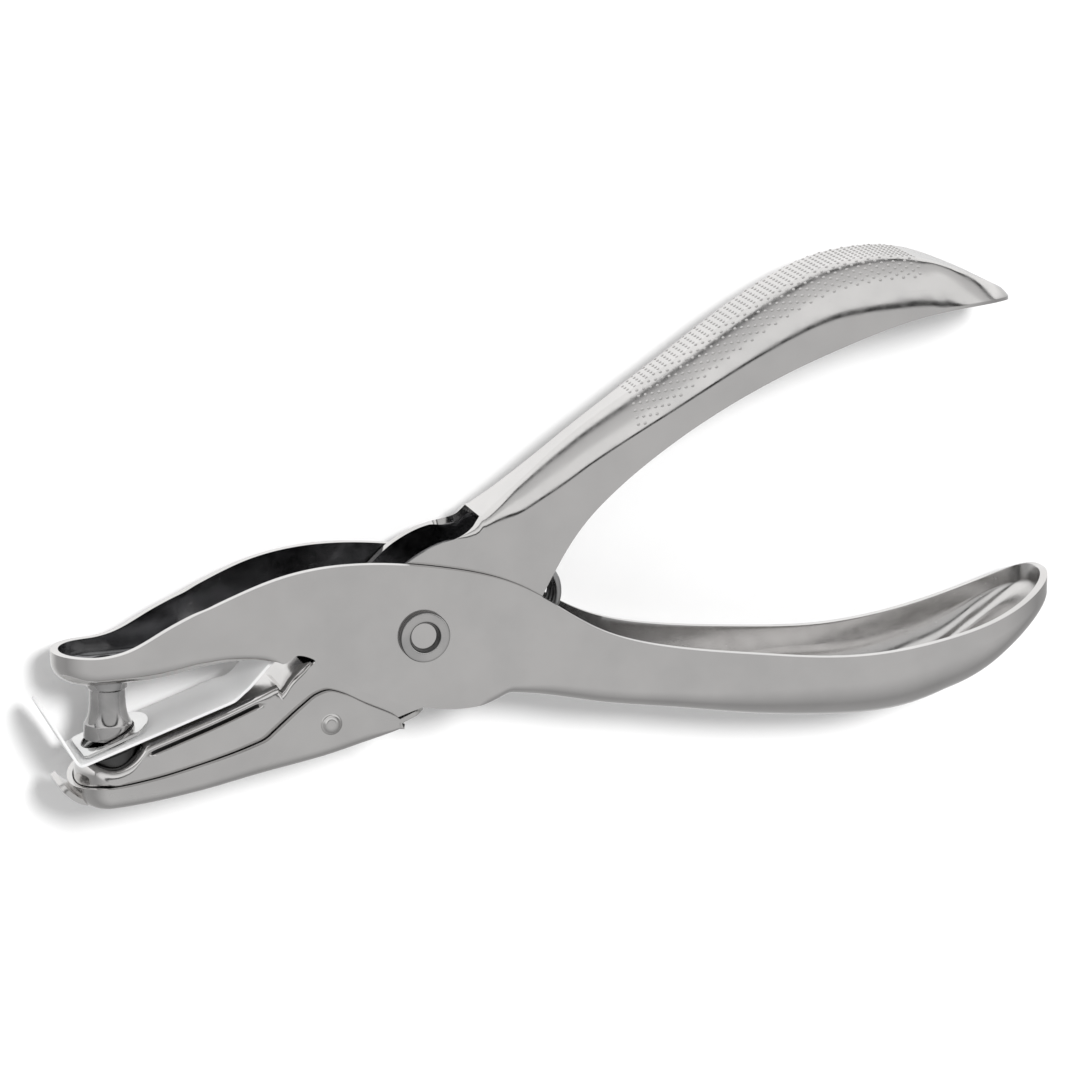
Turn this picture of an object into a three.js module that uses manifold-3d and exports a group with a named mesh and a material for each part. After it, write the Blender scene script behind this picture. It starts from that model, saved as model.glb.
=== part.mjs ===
// Single-hole hand punch of plated pressed steel, lying on its side. Sizes are in millimetres.
// X runs along the tool with the nose at -X, Y points to the upper handle, and Z is the
// pivot's axis. Every piece is drawn with the pivot at the origin, and the whole punch is
// moved at the end so that its origin is the middle of the surface it lies on.
import * as THREE from 'three';
import { ParametricGeometry } from 'three/addons/geometries/ParametricGeometry.js';
import { mergeVertices } from 'three/addons/utils/BufferGeometryUtils.js';
import Module from 'manifold-3d';

// Driving dimensions.
const SHEET = 1.0; // thickness of both levers' steel
const FIT = 0.3; // clearance between neighbouring pieces
const OUTER_HALF = 6.5; // half width over the outer lever's cheeks
const NOSE_HALF = 5.6; // half width of the nose that holds the punch
const INNER_HALF = OUTER_HALF - SHEET - FIT; // half width over the inner lever's cheeks
const JAW_HALF = 6.6; // half width of the lower jaw
const HANDLE_HALF = 9.0; // half width of both handles where the palm presses
const NOSE_TIP = -46.9;
const JAW_TIP = -44.2;
const LOWER_HANDLE_TIP = 88.0;
const UPPER_HANDLE_TIP = 81.6;
const JAW_SLOPE = THREE.MathUtils.degToRad(19); // the open jaw's slope under the nose

// Punch, die and stripper. Their hole runs square to the jaw through PUNCH_POINT.
const PUNCH_POINT = new THREE.Vector2(-39.8, -11.5); // middle of the cutting end
const HOLE_RADIUS = 6.35 / 2; // a quarter-inch hole
const SHANK_RADIUS = 1.6; // of the punch where it passes through the nose
const DIE_RADIUS = 4.6;
const STRIPPER_NECK_HALF = 4.3; // where the stripper climbs into the relief in the nose
const STRIPPER_EYE_HALF = 2.5; // where it wraps round the bush
const JAW_TOP_DROP = 1.15; // jaw's top face under PUNCH_POINT, square to the jaw

// Pivot.
const RIVET_RADIUS = 2.4;
const RIVET_HEAD_RADIUS = 3.3;
const RIVET_HEAD_HEIGHT = 0.8;
const BUSH_RADIUS = 3.7;

// Chip tray.
const TRAY_SHEET = 0.7;
const TRAY_TIP = -45.0;
const DIMPLE = new THREE.Vector2(-12.2, -10.7);

// Fineness.
const CORNER_STEPS = 5;
const ROUND_STEPS = 7;
const CIRCLE_SEGMENTS = 32;

const wasm = await Module();
wasm.setup();

// ---------------------------------------------------------------------------------------
// Solids
// ---------------------------------------------------------------------------------------

// Turns a closed geometry into a manifold solid, leaving out collapsed triangles.
function toSolid(geometry) {
  const bare = geometry.clone();
  bare.deleteAttribute('normal');
  bare.deleteAttribute('uv');
  const merged = mergeVertices(bare, 1e-4);
  const index = merged.index.array;
  const corners = [];
  for (let i = 0; i < index.length; i += 3) {
    const [a, b, c] = [index[i], index[i + 1], index[i + 2]];
    if (a !== b && b !== c && c !== a) corners.push(a, b, c);
  }
  if (signedVolume(merged.attributes.position, corners) < 0) corners.reverse();
  const mesh = new wasm.Mesh({
    numProp: 3,
    vertProperties: new Float32Array(merged.attributes.position.array),
    triVerts: new Uint32Array(corners),
  });
  return new wasm.Manifold(mesh);
}

function signedVolume(position, corners) {
  const [a, b, c] = [new THREE.Vector3(), new THREE.Vector3(), new THREE.Vector3()];
  let volume = 0;
  for (let i = 0; i < corners.length; i += 3) {
    a.fromBufferAttribute(position, corners[i]);
    b.fromBufferAttribute(position, corners[i + 1]);
    c.fromBufferAttribute(position, corners[i + 2]);
    volume += a.dot(b.cross(c)) / 6;
  }
  return volume;
}

function toGeometry(solid) {
  const mesh = solid.getMesh();
  const geometry = new THREE.BufferGeometry();
  geometry.setAttribute('position', new THREE.BufferAttribute(new Float32Array(mesh.vertProperties), 3));
  geometry.setIndex(new THREE.BufferAttribute(new Uint32Array(mesh.triVerts), 1));
  geometry.computeVertexNormals();
  return geometry;
}

// A shape drawn in the side view, from one Z to another.
function sideSlab(shape, lowZ, highZ, curveSegments = 4) {
  const geometry = new THREE.ExtrudeGeometry(shape, {
    depth: highZ - lowZ,
    bevelEnabled: false,
    curveSegments,
  });
  geometry.translate(0, 0, lowZ);
  return toSolid(geometry);
}

// A shape drawn in plan, across as its second coordinate, from one Y to another.
function planSlab(shape, lowY, highY, curveSegments = 8) {
  const geometry = new THREE.ExtrudeGeometry(shape, {
    depth: highY - lowY,
    bevelEnabled: false,
    curveSegments,
  });
  geometry.rotateX(-Math.PI / 2);
  geometry.translate(0, lowY, 0);
  return toSolid(geometry);
}

function boxBetween(low, high) {
  const geometry = new THREE.BoxGeometry(high[0] - low[0], high[1] - low[1], high[2] - low[2]);
  geometry.translate((low[0] + high[0]) / 2, (low[1] + high[1]) / 2, (low[2] + high[2]) / 2);
  return toSolid(geometry);
}

// A cylinder along Z through a point of the side view.
function crossPin(point, radius, lowZ, highZ) {
  const geometry = new THREE.CylinderGeometry(radius, radius, highZ - lowZ, CIRCLE_SEGMENTS);
  geometry.rotateX(Math.PI / 2);
  geometry.translate(point.x, point.y, (lowZ + highZ) / 2);
  return toSolid(geometry);
}

// A cylinder square to the open jaw, centred on the line through PUNCH_POINT.
function jawPlug(radius, highDrop, lowDrop) {
  const geometry = new THREE.CylinderGeometry(radius, radius, lowDrop - highDrop, CIRCLE_SEGMENTS);
  geometry.translate(0, -(highDrop + lowDrop) / 2, 0);
  geometry.rotateZ(JAW_SLOPE);
  geometry.translate(PUNCH_POINT.x, PUNCH_POINT.y, 0);
  return toSolid(geometry);
}

// A closed skin over a row of rings that all have the same number of points.
function loft(rings) {
  const middle = (ring) => {
    const sum = new THREE.Vector3();
    ring.forEach((point) => sum.add(point));
    return sum.divideScalar(ring.length);
  };
  const capped = [
    rings[0].map(() => middle(rings[0])),
    ...rings,
    rings[0].map(() => middle(rings[rings.length - 1])),
  ];
  const around = rings[0].length;
  const along = capped.length - 1;
  const surface = (u, v, target) => {
    const ring = capped[Math.round(v * along)];
    target.copy(ring[Math.round(u * around) % around]);
  };
  return toSolid(new ParametricGeometry(surface, around, along));
}

// ---------------------------------------------------------------------------------------
// Curves
// ---------------------------------------------------------------------------------------

// A smooth function of x through a few knots, held level beyond both ends.
function curveThrough(knots) {
  const slopeAt = (i) => {
    const before = knots[Math.max(i - 1, 0)];
    const after = knots[Math.min(i + 1, knots.length - 1)];
    return (after[1] - before[1]) / (after[0] - before[0]);
  };
  return (x) => {
    const last = knots.length - 1;
    if (x <= knots[0][0]) return knots[0][1];
    if (x >= knots[last][0]) return knots[last][1];
    const i = knots.findIndex((knot, k) => k < last && x < knots[k + 1][0] && x >= knot[0]);
    const span = knots[i + 1][0] - knots[i][0];
    const t = (x - knots[i][0]) / span;
    const rise = t * t * (3 - 2 * t);
    const startPull = t * (1 - t) * (1 - t) * span * slopeAt(i);
    const endPull = t * t * (t - 1) * span * slopeAt(i + 1);
    return knots[i][1] + (knots[i + 1][1] - knots[i][1]) * rise + startPull + endPull;
  };
}

// Share of the full half width left at x where a plan's end is rounded off between start and
// tip. Bluntness 2 is a half ellipse and a larger one a squarer end.
function roundedEnd(x, start, tip, inset, bluntness = 2) {
  if ((x - start) * Math.sign(tip - start) <= 0) return 1;
  const along = Math.abs(x - start) / (Math.abs(tip - start) - inset);
  return Math.max(1 - along ** bluntness, 0) ** (1 / bluntness);
}

function evenSteps(start, end, count) {
  return Array.from({ length: count + 1 }, (_, i) => start + ((end - start) * i) / count);
}

// Places along a rounded end, closer together towards the tip.
function roundSteps(start, tip, inset) {
  const reach = tip - start - Math.sign(tip - start) * inset;
  const turns = evenSteps(0, 0.97, ROUND_STEPS);
  return turns.map((turn) => start + reach * Math.sin((turn * Math.PI) / 2));
}

// ---------------------------------------------------------------------------------------
// Pressed channels
// ---------------------------------------------------------------------------------------

// One ring of a channel: upright walls, elliptical corners and a flat web. A corner power above
// 1 flattens the corner towards a chamfer.
function channelRing(x, halfWidth, webY, openY, cornerAcross, cornerUp, cornerPower) {
  const side = [new THREE.Vector3(x, openY, halfWidth)];
  const up = Math.sign(openY - webY);
  for (let step = 0; step <= CORNER_STEPS; step += 1) {
    const turn = ((step / CORNER_STEPS) * Math.PI) / 2;
    const z = halfWidth - cornerAcross * (1 - Math.max(Math.cos(turn), 0) ** cornerPower);
    const y = webY + up * cornerUp * (1 - Math.sin(turn) ** cornerPower);
    side.push(new THREE.Vector3(x, y, z));
  }
  const otherSide = side.map((point) => new THREE.Vector3(x, point.y, -point.z)).reverse();
  return [...side, ...otherSide];
}

// A filled channel, made thinner all round by inset. The profile gives its shape along X.
function channelBody(profile, places, inset) {
  const up = Math.sign(profile.openY - profile.web(places[0]));
  const rings = places.map((x) => {
    const slope = (profile.web(x + 0.1) - profile.web(x - 0.1)) / 0.2;
    const halfWidth = Math.max(profile.halfWidth(x, inset) - inset * profile.endFactor(x, inset), 0.2);
    const webY = profile.web(x) + up * inset * Math.hypot(1, slope);
    const cornerAcross = Math.min(profile.cornerAcross(x) - inset, halfWidth * 0.95);
    const cornerUp = profile.cornerUp(x) - inset;
    const cornerPower = profile.cornerPower ?? 1;
    return channelRing(x, halfWidth, webY, profile.openY, cornerAcross, cornerUp, cornerPower);
  });
  return loft(rings);
}

// A pressed channel of even sheet: the outside less the inside, left open at its open end.
function pressedChannel(profile, outsidePlaces, insidePlaces, sheet) {
  return channelBody(profile, outsidePlaces, 0).subtract(channelBody(profile, insidePlaces, sheet));
}

// Two upright walls that follow a half width given along X.
function cheekPair(halfWidth, places, sheet, lowY, highY) {
  const outline = (inset) => [
    ...places.map((x) => new THREE.Vector2(x, halfWidth(x) - inset)),
    ...[...places].reverse().map((x) => new THREE.Vector2(x, inset - halfWidth(x))),
  ];
  const whole = planSlab(new THREE.Shape(outline(0)), lowY, highY);
  const first = places[0] - 1;
  const last = places[places.length - 1] + 1;
  const inner = [
    new THREE.Vector2(first, halfWidth(first) - sheet),
    ...places.map((x) => new THREE.Vector2(x, halfWidth(x) - sheet)),
    new THREE.Vector2(last, halfWidth(last) - sheet),
  ];
  const mirrored = inner.map((point) => new THREE.Vector2(point.x, -point.y)).reverse();
  const core = planSlab(new THREE.Shape([...inner, ...mirrored]), lowY - 1, highY + 1);
  return whole.subtract(core);
}

// ---------------------------------------------------------------------------------------
// Outer lever: nose, cheeks and lower handle in one pressing, open upwards
// ---------------------------------------------------------------------------------------

const NOSE_ROUND_START = NOSE_TIP + NOSE_HALF;
const NOSE_REAR = -19;
const NOSE_FLOOR = -3.6;
const NOSE_EDGE_RADIUS = 2.2;
const NOSE_OPEN_Y = 14;
const HANDLE_FLOOR_FRONT = 12;
const LOWER_TIP_ROUND_START = 72;
const SPOON_BLUNTNESS = 2.4;

const outerHalfWidth = curveThrough([
  [-30, NOSE_HALF],
  [-26, 6.0],
  [-20, OUTER_HALF],
  [-14, OUTER_HALF],
  [16, OUTER_HALF],
  [26, OUTER_HALF],
  [40, 7.3],
  [55, 8.6],
  [67, HANDLE_HALF],
  [75, HANDLE_HALF],
]);

const noseFloor = curveThrough([
  [-36, NOSE_FLOOR],
  [-34, NOSE_FLOOR + 0.2],
  [-26, -1.8],
  [-21, -1.7],
  [-18, -1.8],
]);

const lowerHandleFloor = curveThrough([
  [12, -9.1],
  [16, -9.7],
  [25, -11.7],
  [35, -13.3],
  [45, -15.1],
  [55, -16.3],
  [63, -16.5],
  [68, -15.8],
  [73, -14],
  [78, -11.2],
  [83, -6.9],
  [86, -3.8],
  [LOWER_HANDLE_TIP, -2.4],
]);

const noseProfile = {
  openY: NOSE_OPEN_Y,
  halfWidth: (x, inset) => outerHalfWidth(x) * roundedEnd(x, NOSE_ROUND_START, NOSE_TIP, inset),
  endFactor: (x, inset) => roundedEnd(x, NOSE_ROUND_START, NOSE_TIP, inset),
  web: (x) => {
    const over = Math.max(NOSE_TIP + NOSE_EDGE_RADIUS - x, 0) / NOSE_EDGE_RADIUS;
    return noseFloor(x) + NOSE_EDGE_RADIUS * (1 - Math.sqrt(Math.max(1 - over * over, 0.02)));
  },
  cornerAcross: curveThrough([[-34, 2.4], [-22, 1.3]]),
  cornerUp: curveThrough([[-34, 2.4], [-22, 1.3]]),
};

const lowerHandleProfile = {
  openY: 12,
  halfWidth: (x, inset) =>
    outerHalfWidth(x) * roundedEnd(x, LOWER_TIP_ROUND_START, LOWER_HANDLE_TIP, inset, SPOON_BLUNTNESS),
  endFactor: (x, inset) =>
    roundedEnd(x, LOWER_TIP_ROUND_START, LOWER_HANDLE_TIP, inset, SPOON_BLUNTNESS),
  web: lowerHandleFloor,
  cornerAcross: curveThrough([[20, 2.6], [35, 3.4], [55, 6.6], [66, 7.2]]),
  cornerUp: curveThrough([[20, 2.6], [35, 3.4], [55, 6.4], [68, 6.8], [82, 3.4], [88, 1.7]]),
};

// What is kept of the outer lever in the side view: its rim above, its ears below.
function outerSideShape() {
  const shape = new THREE.Shape();
  shape.moveTo(-60, 0.2);
  shape.lineTo(-40.8, 0.2);
  shape.splineThru([
    new THREE.Vector2(-37.6, 0.9),
    new THREE.Vector2(-33.5, 3.0),
    new THREE.Vector2(-28, 5.5),
    new THREE.Vector2(-20, 8.6),
    new THREE.Vector2(-8, 9.95),
    new THREE.Vector2(4, 8.3),
    new THREE.Vector2(14, 4.9),
    new THREE.Vector2(23, -0.8),
    new THREE.Vector2(33, -4.2),
    new THREE.Vector2(46, -6.1),
    new THREE.Vector2(59, -7.1),
    new THREE.Vector2(71, -5.8),
    new THREE.Vector2(81, -2.9),
    new THREE.Vector2(87, 0.1),
  ]);
  shape.lineTo(95, 3);
  shape.lineTo(95, -25);
  shape.lineTo(HANDLE_FLOOR_FRONT, -25);
  shape.lineTo(HANDLE_FLOOR_FRONT, -8.8);
  shape.splineThru([
    new THREE.Vector2(9.5, -9.7),
    new THREE.Vector2(5, -10.1),
    new THREE.Vector2(-1, -9.3),
    new THREE.Vector2(-7.2, -7.1),
    new THREE.Vector2(-12.8, -3.6),
    new THREE.Vector2(-14.8, -1.7),
    new THREE.Vector2(-16.6, -1.2),
    new THREE.Vector2(-18.4, -2.3),
  ]);
  shape.lineTo(NOSE_REAR - 1.1, -2.0);
  shape.lineTo(NOSE_REAR - 1.1, -8);
  shape.lineTo(-60, -8);
  shape.closePath();
  return shape;
}

function outerLever() {
  const noseOutside = [
    ...roundSteps(NOSE_ROUND_START, NOSE_TIP, 0).reverse(),
    ...evenSteps(-39, NOSE_REAR, 10),
  ];
  const noseInside = [
    ...roundSteps(NOSE_ROUND_START, NOSE_TIP, SHEET).reverse(),
    ...evenSteps(-39, NOSE_REAR + 1, 10),
  ];
  const nose = pressedChannel(noseProfile, noseOutside, noseInside, SHEET);
  const handleOutside = [
    ...evenSteps(HANDLE_FLOOR_FRONT - 0.5, LOWER_TIP_ROUND_START - 2, 16),
    ...roundSteps(LOWER_TIP_ROUND_START, LOWER_HANDLE_TIP, 0),
  ];
  const handleInside = [
    ...evenSteps(HANDLE_FLOOR_FRONT - 1, LOWER_TIP_ROUND_START - 2, 16),
    ...roundSteps(LOWER_TIP_ROUND_START, LOWER_HANDLE_TIP, SHEET),
  ];
  const handle = pressedChannel(lowerHandleProfile, handleOutside, handleInside, SHEET);
  const cheeks = cheekPair(outerHalfWidth, [NOSE_REAR - 1, HANDLE_FLOOR_FRONT], SHEET, -12, 12);
  const reliefHalf = STRIPPER_NECK_HALF + FIT;
  const throatRelief = boxBetween([-26.5, -6, -reliefHalf], [-15, 0.2, reliefHalf]);
  const shankHole = SHANK_RADIUS + FIT;
  const punchHole = new THREE.CylinderGeometry(shankHole, shankHole, 6, CIRCLE_SEGMENTS);
  punchHole.translate(PUNCH_POINT.x, NOSE_FLOOR, 0);
  const solid = nose
    .add(cheeks)
    .add(handle)
    .intersect(sideSlab(outerSideShape(), -20, 20))
    .subtract(throatRelief)
    .subtract(toSolid(punchHole))
    .subtract(crossPin(new THREE.Vector2(0, 0), RIVET_RADIUS + FIT, -20, 20));
  return toGeometry(solid);
}

// ---------------------------------------------------------------------------------------
// Inner lever: lower jaw, cheeks and upper handle in one pressing, open downwards
// ---------------------------------------------------------------------------------------

const JAW_ROUND_START = JAW_TIP + 4.6;
const JAW_WEB_REAR = -17.2;
const JAW_STEP_REAR = JAW_WEB_REAR - 1.1; // the side view drops to the cheeks here
const JAW_STEP_DROP = 1.3; // from the web's line to the cheeks' edge
const WEB_FRONT = 8.6;
const UPPER_TIP_ROUND_START = 68;
const DIE_VALLEY_DEPTH = 1.7;
const DIE_VALLEY_HALF = 3.3;

// Height of a line that runs with the open jaw, a given drop under PUNCH_POINT.
function jawLine(x, drop) {
  const point = PUNCH_POINT;
  return point.y + Math.tan(JAW_SLOPE) * (x - point.x) - drop / Math.cos(JAW_SLOPE);
}

const innerHalfWidth = curveThrough([
  [-34, JAW_HALF],
  [-29, JAW_HALF],
  [-14.5, INNER_HALF],
  [-10, INNER_HALF],
  [12, INNER_HALF],
  [22, 5.5],
  [34, 6.8],
  [48, 8.3],
  [58, HANDLE_HALF],
  [72, HANDLE_HALF],
]);

const upperHandleWeb = curveThrough([
  [8, 13.8],
  [15, 19],
  [21, 23.6],
  [27, 27.6],
  [35, 32.8],
  [42, 37.5],
  [49, 41.5],
  [54, 43.7],
  [59, 44.8],
  [64, 45],
  [69, 44.2],
  [74, 42.4],
  [78, 40.6],
  [UPPER_HANDLE_TIP, 38.6],
]);

const jawProfile = {
  openY: -24,
  halfWidth: (x, inset) => innerHalfWidth(x) * roundedEnd(x, JAW_ROUND_START, JAW_TIP, inset),
  endFactor: (x, inset) => roundedEnd(x, JAW_ROUND_START, JAW_TIP, inset),
  web: (x) => {
    const fromDie = (x - PUNCH_POINT.x - 0.4) / DIE_VALLEY_HALF;
    const valley = DIE_VALLEY_DEPTH * Math.max(1 - fromDie * fromDie, 0);
    return jawLine(x, JAW_TOP_DROP) - valley;
  },
  cornerAcross: () => 1.7,
  cornerUp: () => 1.7,
};

const upperHandleProfile = {
  openY: -2,
  halfWidth: (x, inset) =>
    innerHalfWidth(x) * roundedEnd(x, UPPER_TIP_ROUND_START, UPPER_HANDLE_TIP, inset),
  endFactor: (x, inset) => roundedEnd(x, UPPER_TIP_ROUND_START, UPPER_HANDLE_TIP, inset),
  web: upperHandleWeb,
  cornerAcross: curveThrough([[11, 2.2], [20, 3.6], [30, 4.4], [48, 6.0], [60, 7.2]]),
  cornerUp: curveThrough([[11, 2.6], [20, 3.8], [30, 4.2], [48, 5.4], [62, 6.2], [74, 4.2]]),
  cornerPower: 1.35,
};

// What is kept of the inner lever in the side view.
function innerSideShape() {
  const shape = new THREE.Shape();
  shape.moveTo(-50, -8);
  shape.lineTo(JAW_STEP_REAR, jawLine(JAW_WEB_REAR, JAW_TOP_DROP) + 1);
  shape.lineTo(JAW_STEP_REAR, jawLine(JAW_WEB_REAR, JAW_TOP_DROP + JAW_STEP_DROP));
  shape.splineThru([
    new THREE.Vector2(-17.4, -5.1),
    new THREE.Vector2(-15, -2.9),
    new THREE.Vector2(-10, 1.5),
    new THREE.Vector2(-4.6, 6.7),
    new THREE.Vector2(-1.2, 9.7),
    new THREE.Vector2(2.2, 11.4),
    new THREE.Vector2(6.2, 12.4),
    new THREE.Vector2(7.8, 13.6),
    new THREE.Vector2(8.3, 15.2),
  ]);
  shape.lineTo(8.3, 50);
  shape.lineTo(90, 50);
  shape.lineTo(90, 37.9);
  shape.lineTo(80.5, 38.1);
  shape.splineThru([
    new THREE.Vector2(77.8, 38.4),
    new THREE.Vector2(69.4, 38.1),
    new THREE.Vector2(62, 36.5),
    new THREE.Vector2(54.8, 34.1),
    new THREE.Vector2(44, 29.3),
    new THREE.Vector2(33.4, 22.9),
    new THREE.Vector2(25.1, 16.2),
    new THREE.Vector2(19.6, 9.7),
    new THREE.Vector2(16.4, 4),
    new THREE.Vector2(12, -3.5),
    new THREE.Vector2(6.5, -8),
    new THREE.Vector2(0, -9.9),
    new THREE.Vector2(-5, -11.5),
    new THREE.Vector2(-13.7, -13.9),
    new THREE.Vector2(-23, -15.3),
  ]);
  shape.lineTo(-42, -17.7);
  shape.lineTo(-50, -17.7);
  shape.closePath();
  return shape;
}

function innerLever() {
  const jawPlaces = [...evenSteps(-38.6, -19.6, 15), ...evenSteps(-18.8, JAW_WEB_REAR, 2)];
  const jawOutside = [...roundSteps(JAW_ROUND_START, JAW_TIP, 0).reverse(), ...jawPlaces];
  const jawInside = [
    ...roundSteps(JAW_ROUND_START, JAW_TIP, SHEET).reverse(),
    ...jawPlaces,
    JAW_WEB_REAR + 1,
  ];
  const jaw = pressedChannel(jawProfile, jawOutside, jawInside, SHEET);
  const handleOutside = [
    ...evenSteps(WEB_FRONT - 0.3, UPPER_TIP_ROUND_START - 2, 17),
    ...roundSteps(UPPER_TIP_ROUND_START, UPPER_HANDLE_TIP, 0),
  ];
  const handleInside = [
    ...evenSteps(WEB_FRONT - 1, UPPER_TIP_ROUND_START - 2, 17),
    ...roundSteps(UPPER_TIP_ROUND_START, UPPER_HANDLE_TIP, SHEET),
  ];
  const handle = pressedChannel(upperHandleProfile, handleOutside, handleInside, SHEET);
  const flare = evenSteps(JAW_WEB_REAR - 1, -14, 8);
  const cheeks = cheekPair(innerHalfWidth, [...flare, WEB_FRONT + 0.2], SHEET, -24, 13.5);
  const solid = jaw
    .add(cheeks)
    .add(handle)
    .intersect(sideSlab(innerSideShape(), -20, 20))
    .subtract(jawPlug(DIE_RADIUS + FIT, -4, 7))
    .subtract(crossPin(new THREE.Vector2(0, 0), RIVET_RADIUS + FIT, -20, 20))
    .subtract(crossPin(DIMPLE, 1.2, -20, 20));
  return toGeometry(solid);
}

// ---------------------------------------------------------------------------------------
// Pivot
// ---------------------------------------------------------------------------------------

// Tubular rivet: a flat factory head below, a rolled rim round a recess above.
function pivotRivet() {
  const seat = OUTER_HALF + FIT / 2;
  const top = seat + RIVET_HEAD_HEIGHT;
  const profile = [
    [0, -top],
    [RIVET_HEAD_RADIUS - 0.3, -top],
    [RIVET_HEAD_RADIUS, -top + 0.3],
    [RIVET_HEAD_RADIUS, -seat],
    [RIVET_RADIUS, -seat],
    [RIVET_RADIUS, seat],
    [RIVET_HEAD_RADIUS, seat],
    [RIVET_HEAD_RADIUS, top - 0.35],
    [RIVET_HEAD_RADIUS - 0.3, top],
    [2.1, top],
    [1.86, top - 0.3],
    [1.8, top - 0.95],
    [0.75, top - 1.65],
    [0, top - 1.82],
  ];
  const geometry = new THREE.LatheGeometry(
    profile.map(([radius, along]) => new THREE.Vector2(radius, along)),
    CIRCLE_SEGMENTS,
  );
  geometry.rotateX(Math.PI / 2);
  return toGeometry(toSolid(geometry));
}

// Bush that keeps the inner lever's cheeks apart.
function pivotBush() {
  const reach = INNER_HALF - SHEET - FIT / 2;
  const origin = new THREE.Vector2(0, 0);
  const body = crossPin(origin, BUSH_RADIUS, -reach, reach);
  return toGeometry(body.subtract(crossPin(origin, RIVET_RADIUS + FIT, -reach - 1, reach + 1)));
}

// ---------------------------------------------------------------------------------------
// Punch and die
// ---------------------------------------------------------------------------------------

// Waisted punch, its shank riveted over inside the nose.
function punchPin() {
  const end = PUNCH_POINT.y;
  const floorTop = NOSE_FLOOR + SHEET;
  const profile = [
    [0, end],
    [HOLE_RADIUS, end],
    [3.06, end + 1.85],
    [2.74, end + 2.4],
    [2.48, end + 3.2],
    [2.34, end + 4.4],
    [2.34, end + 6.4],
    [2.6, end + 6.7],
    [2.6, NOSE_FLOOR - 0.2],
    [SHANK_RADIUS, NOSE_FLOOR - 0.2],
    [SHANK_RADIUS, floorTop + 0.2],
    [3.0, floorTop + 0.2],
    [2.9, floorTop + 0.7],
    [2.2, floorTop + 1.2],
    [0, floorTop + 1.4],
  ];
  const geometry = new THREE.LatheGeometry(
    profile.map(([radius, along]) => new THREE.Vector2(radius, along)),
    CIRCLE_SEGMENTS,
  );
  geometry.translate(PUNCH_POINT.x, 0, 0);
  return toGeometry(toSolid(geometry));
}

// Hard steel die bush set into the jaw's valley.
function dieBush() {
  const top = JAW_TOP_DROP + 0.1;
  const bottom = top + 3.2;
  const bore = jawPlug(HOLE_RADIUS + 0.45, top - 1, bottom + 1);
  return toGeometry(jawPlug(DIE_RADIUS, top, bottom).subtract(bore));
}

// ---------------------------------------------------------------------------------------
// Stripper
// ---------------------------------------------------------------------------------------

const STRIPPER_SHEET = 0.35;
const STRIPPER_HALF = 5.4;
const STRIPPER_DROP = 0.35; // top face under PUNCH_POINT
const STRIPPER_FRONT = -44.6;
const STRIPPER_EYE_RADIUS = BUSH_RADIUS + FIT + STRIPPER_SHEET / 2;
const TAB_TIP = new THREE.Vector2(-49.2, -5.7);

// Line of the stripper's middle in the side view: tab, plate, neck and the eye on the bush.
function stripperPath() {
  const drop = STRIPPER_DROP + STRIPPER_SHEET / 2;
  const path = [
    TAB_TIP,
    new THREE.Vector2(STRIPPER_FRONT - 0.35, jawLine(STRIPPER_FRONT, drop) + 0.55),
    new THREE.Vector2(STRIPPER_FRONT + 0.3, jawLine(STRIPPER_FRONT + 0.3, drop)),
    new THREE.Vector2(-23.8, jawLine(-23.8, drop)),
    new THREE.Vector2(-22.6, -5.8),
    new THREE.Vector2(-19.6, -2.6),
    new THREE.Vector2(-17.6, -1.2),
  ];
  const eyeStart = THREE.MathUtils.degToRad(112);
  const eyeEnd = THREE.MathUtils.degToRad(-150);
  evenSteps(eyeStart, eyeEnd, 16).forEach((turn) => {
    path.push(new THREE.Vector2(Math.cos(turn), Math.sin(turn)).multiplyScalar(STRIPPER_EYE_RADIUS));
  });
  return path;
}

// A ribbon of even thickness along a bent line, as a side-view shape.
function ribbonShape(path, thickness) {
  const normalAt = (i) => {
    const before = path[Math.max(i - 1, 0)];
    const after = path[Math.min(i + 1, path.length - 1)];
    const here = path[i];
    const into = i === 0 ? after.clone().sub(here) : here.clone().sub(before);
    const out = i === path.length - 1 ? into.clone() : after.clone().sub(here);
    into.normalize();
    out.normalize();
    const bisector = into.clone().add(out).normalize();
    const widen = 1 / Math.max(bisector.dot(into), 0.5);
    return new THREE.Vector2(-bisector.y, bisector.x).multiplyScalar((widen * thickness) / 2);
  };
  const left = path.map((point, i) => point.clone().add(normalAt(i)));
  const right = path.map((point, i) => point.clone().sub(normalAt(i))).reverse();
  return new THREE.Shape([...left, ...right]);
}

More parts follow.
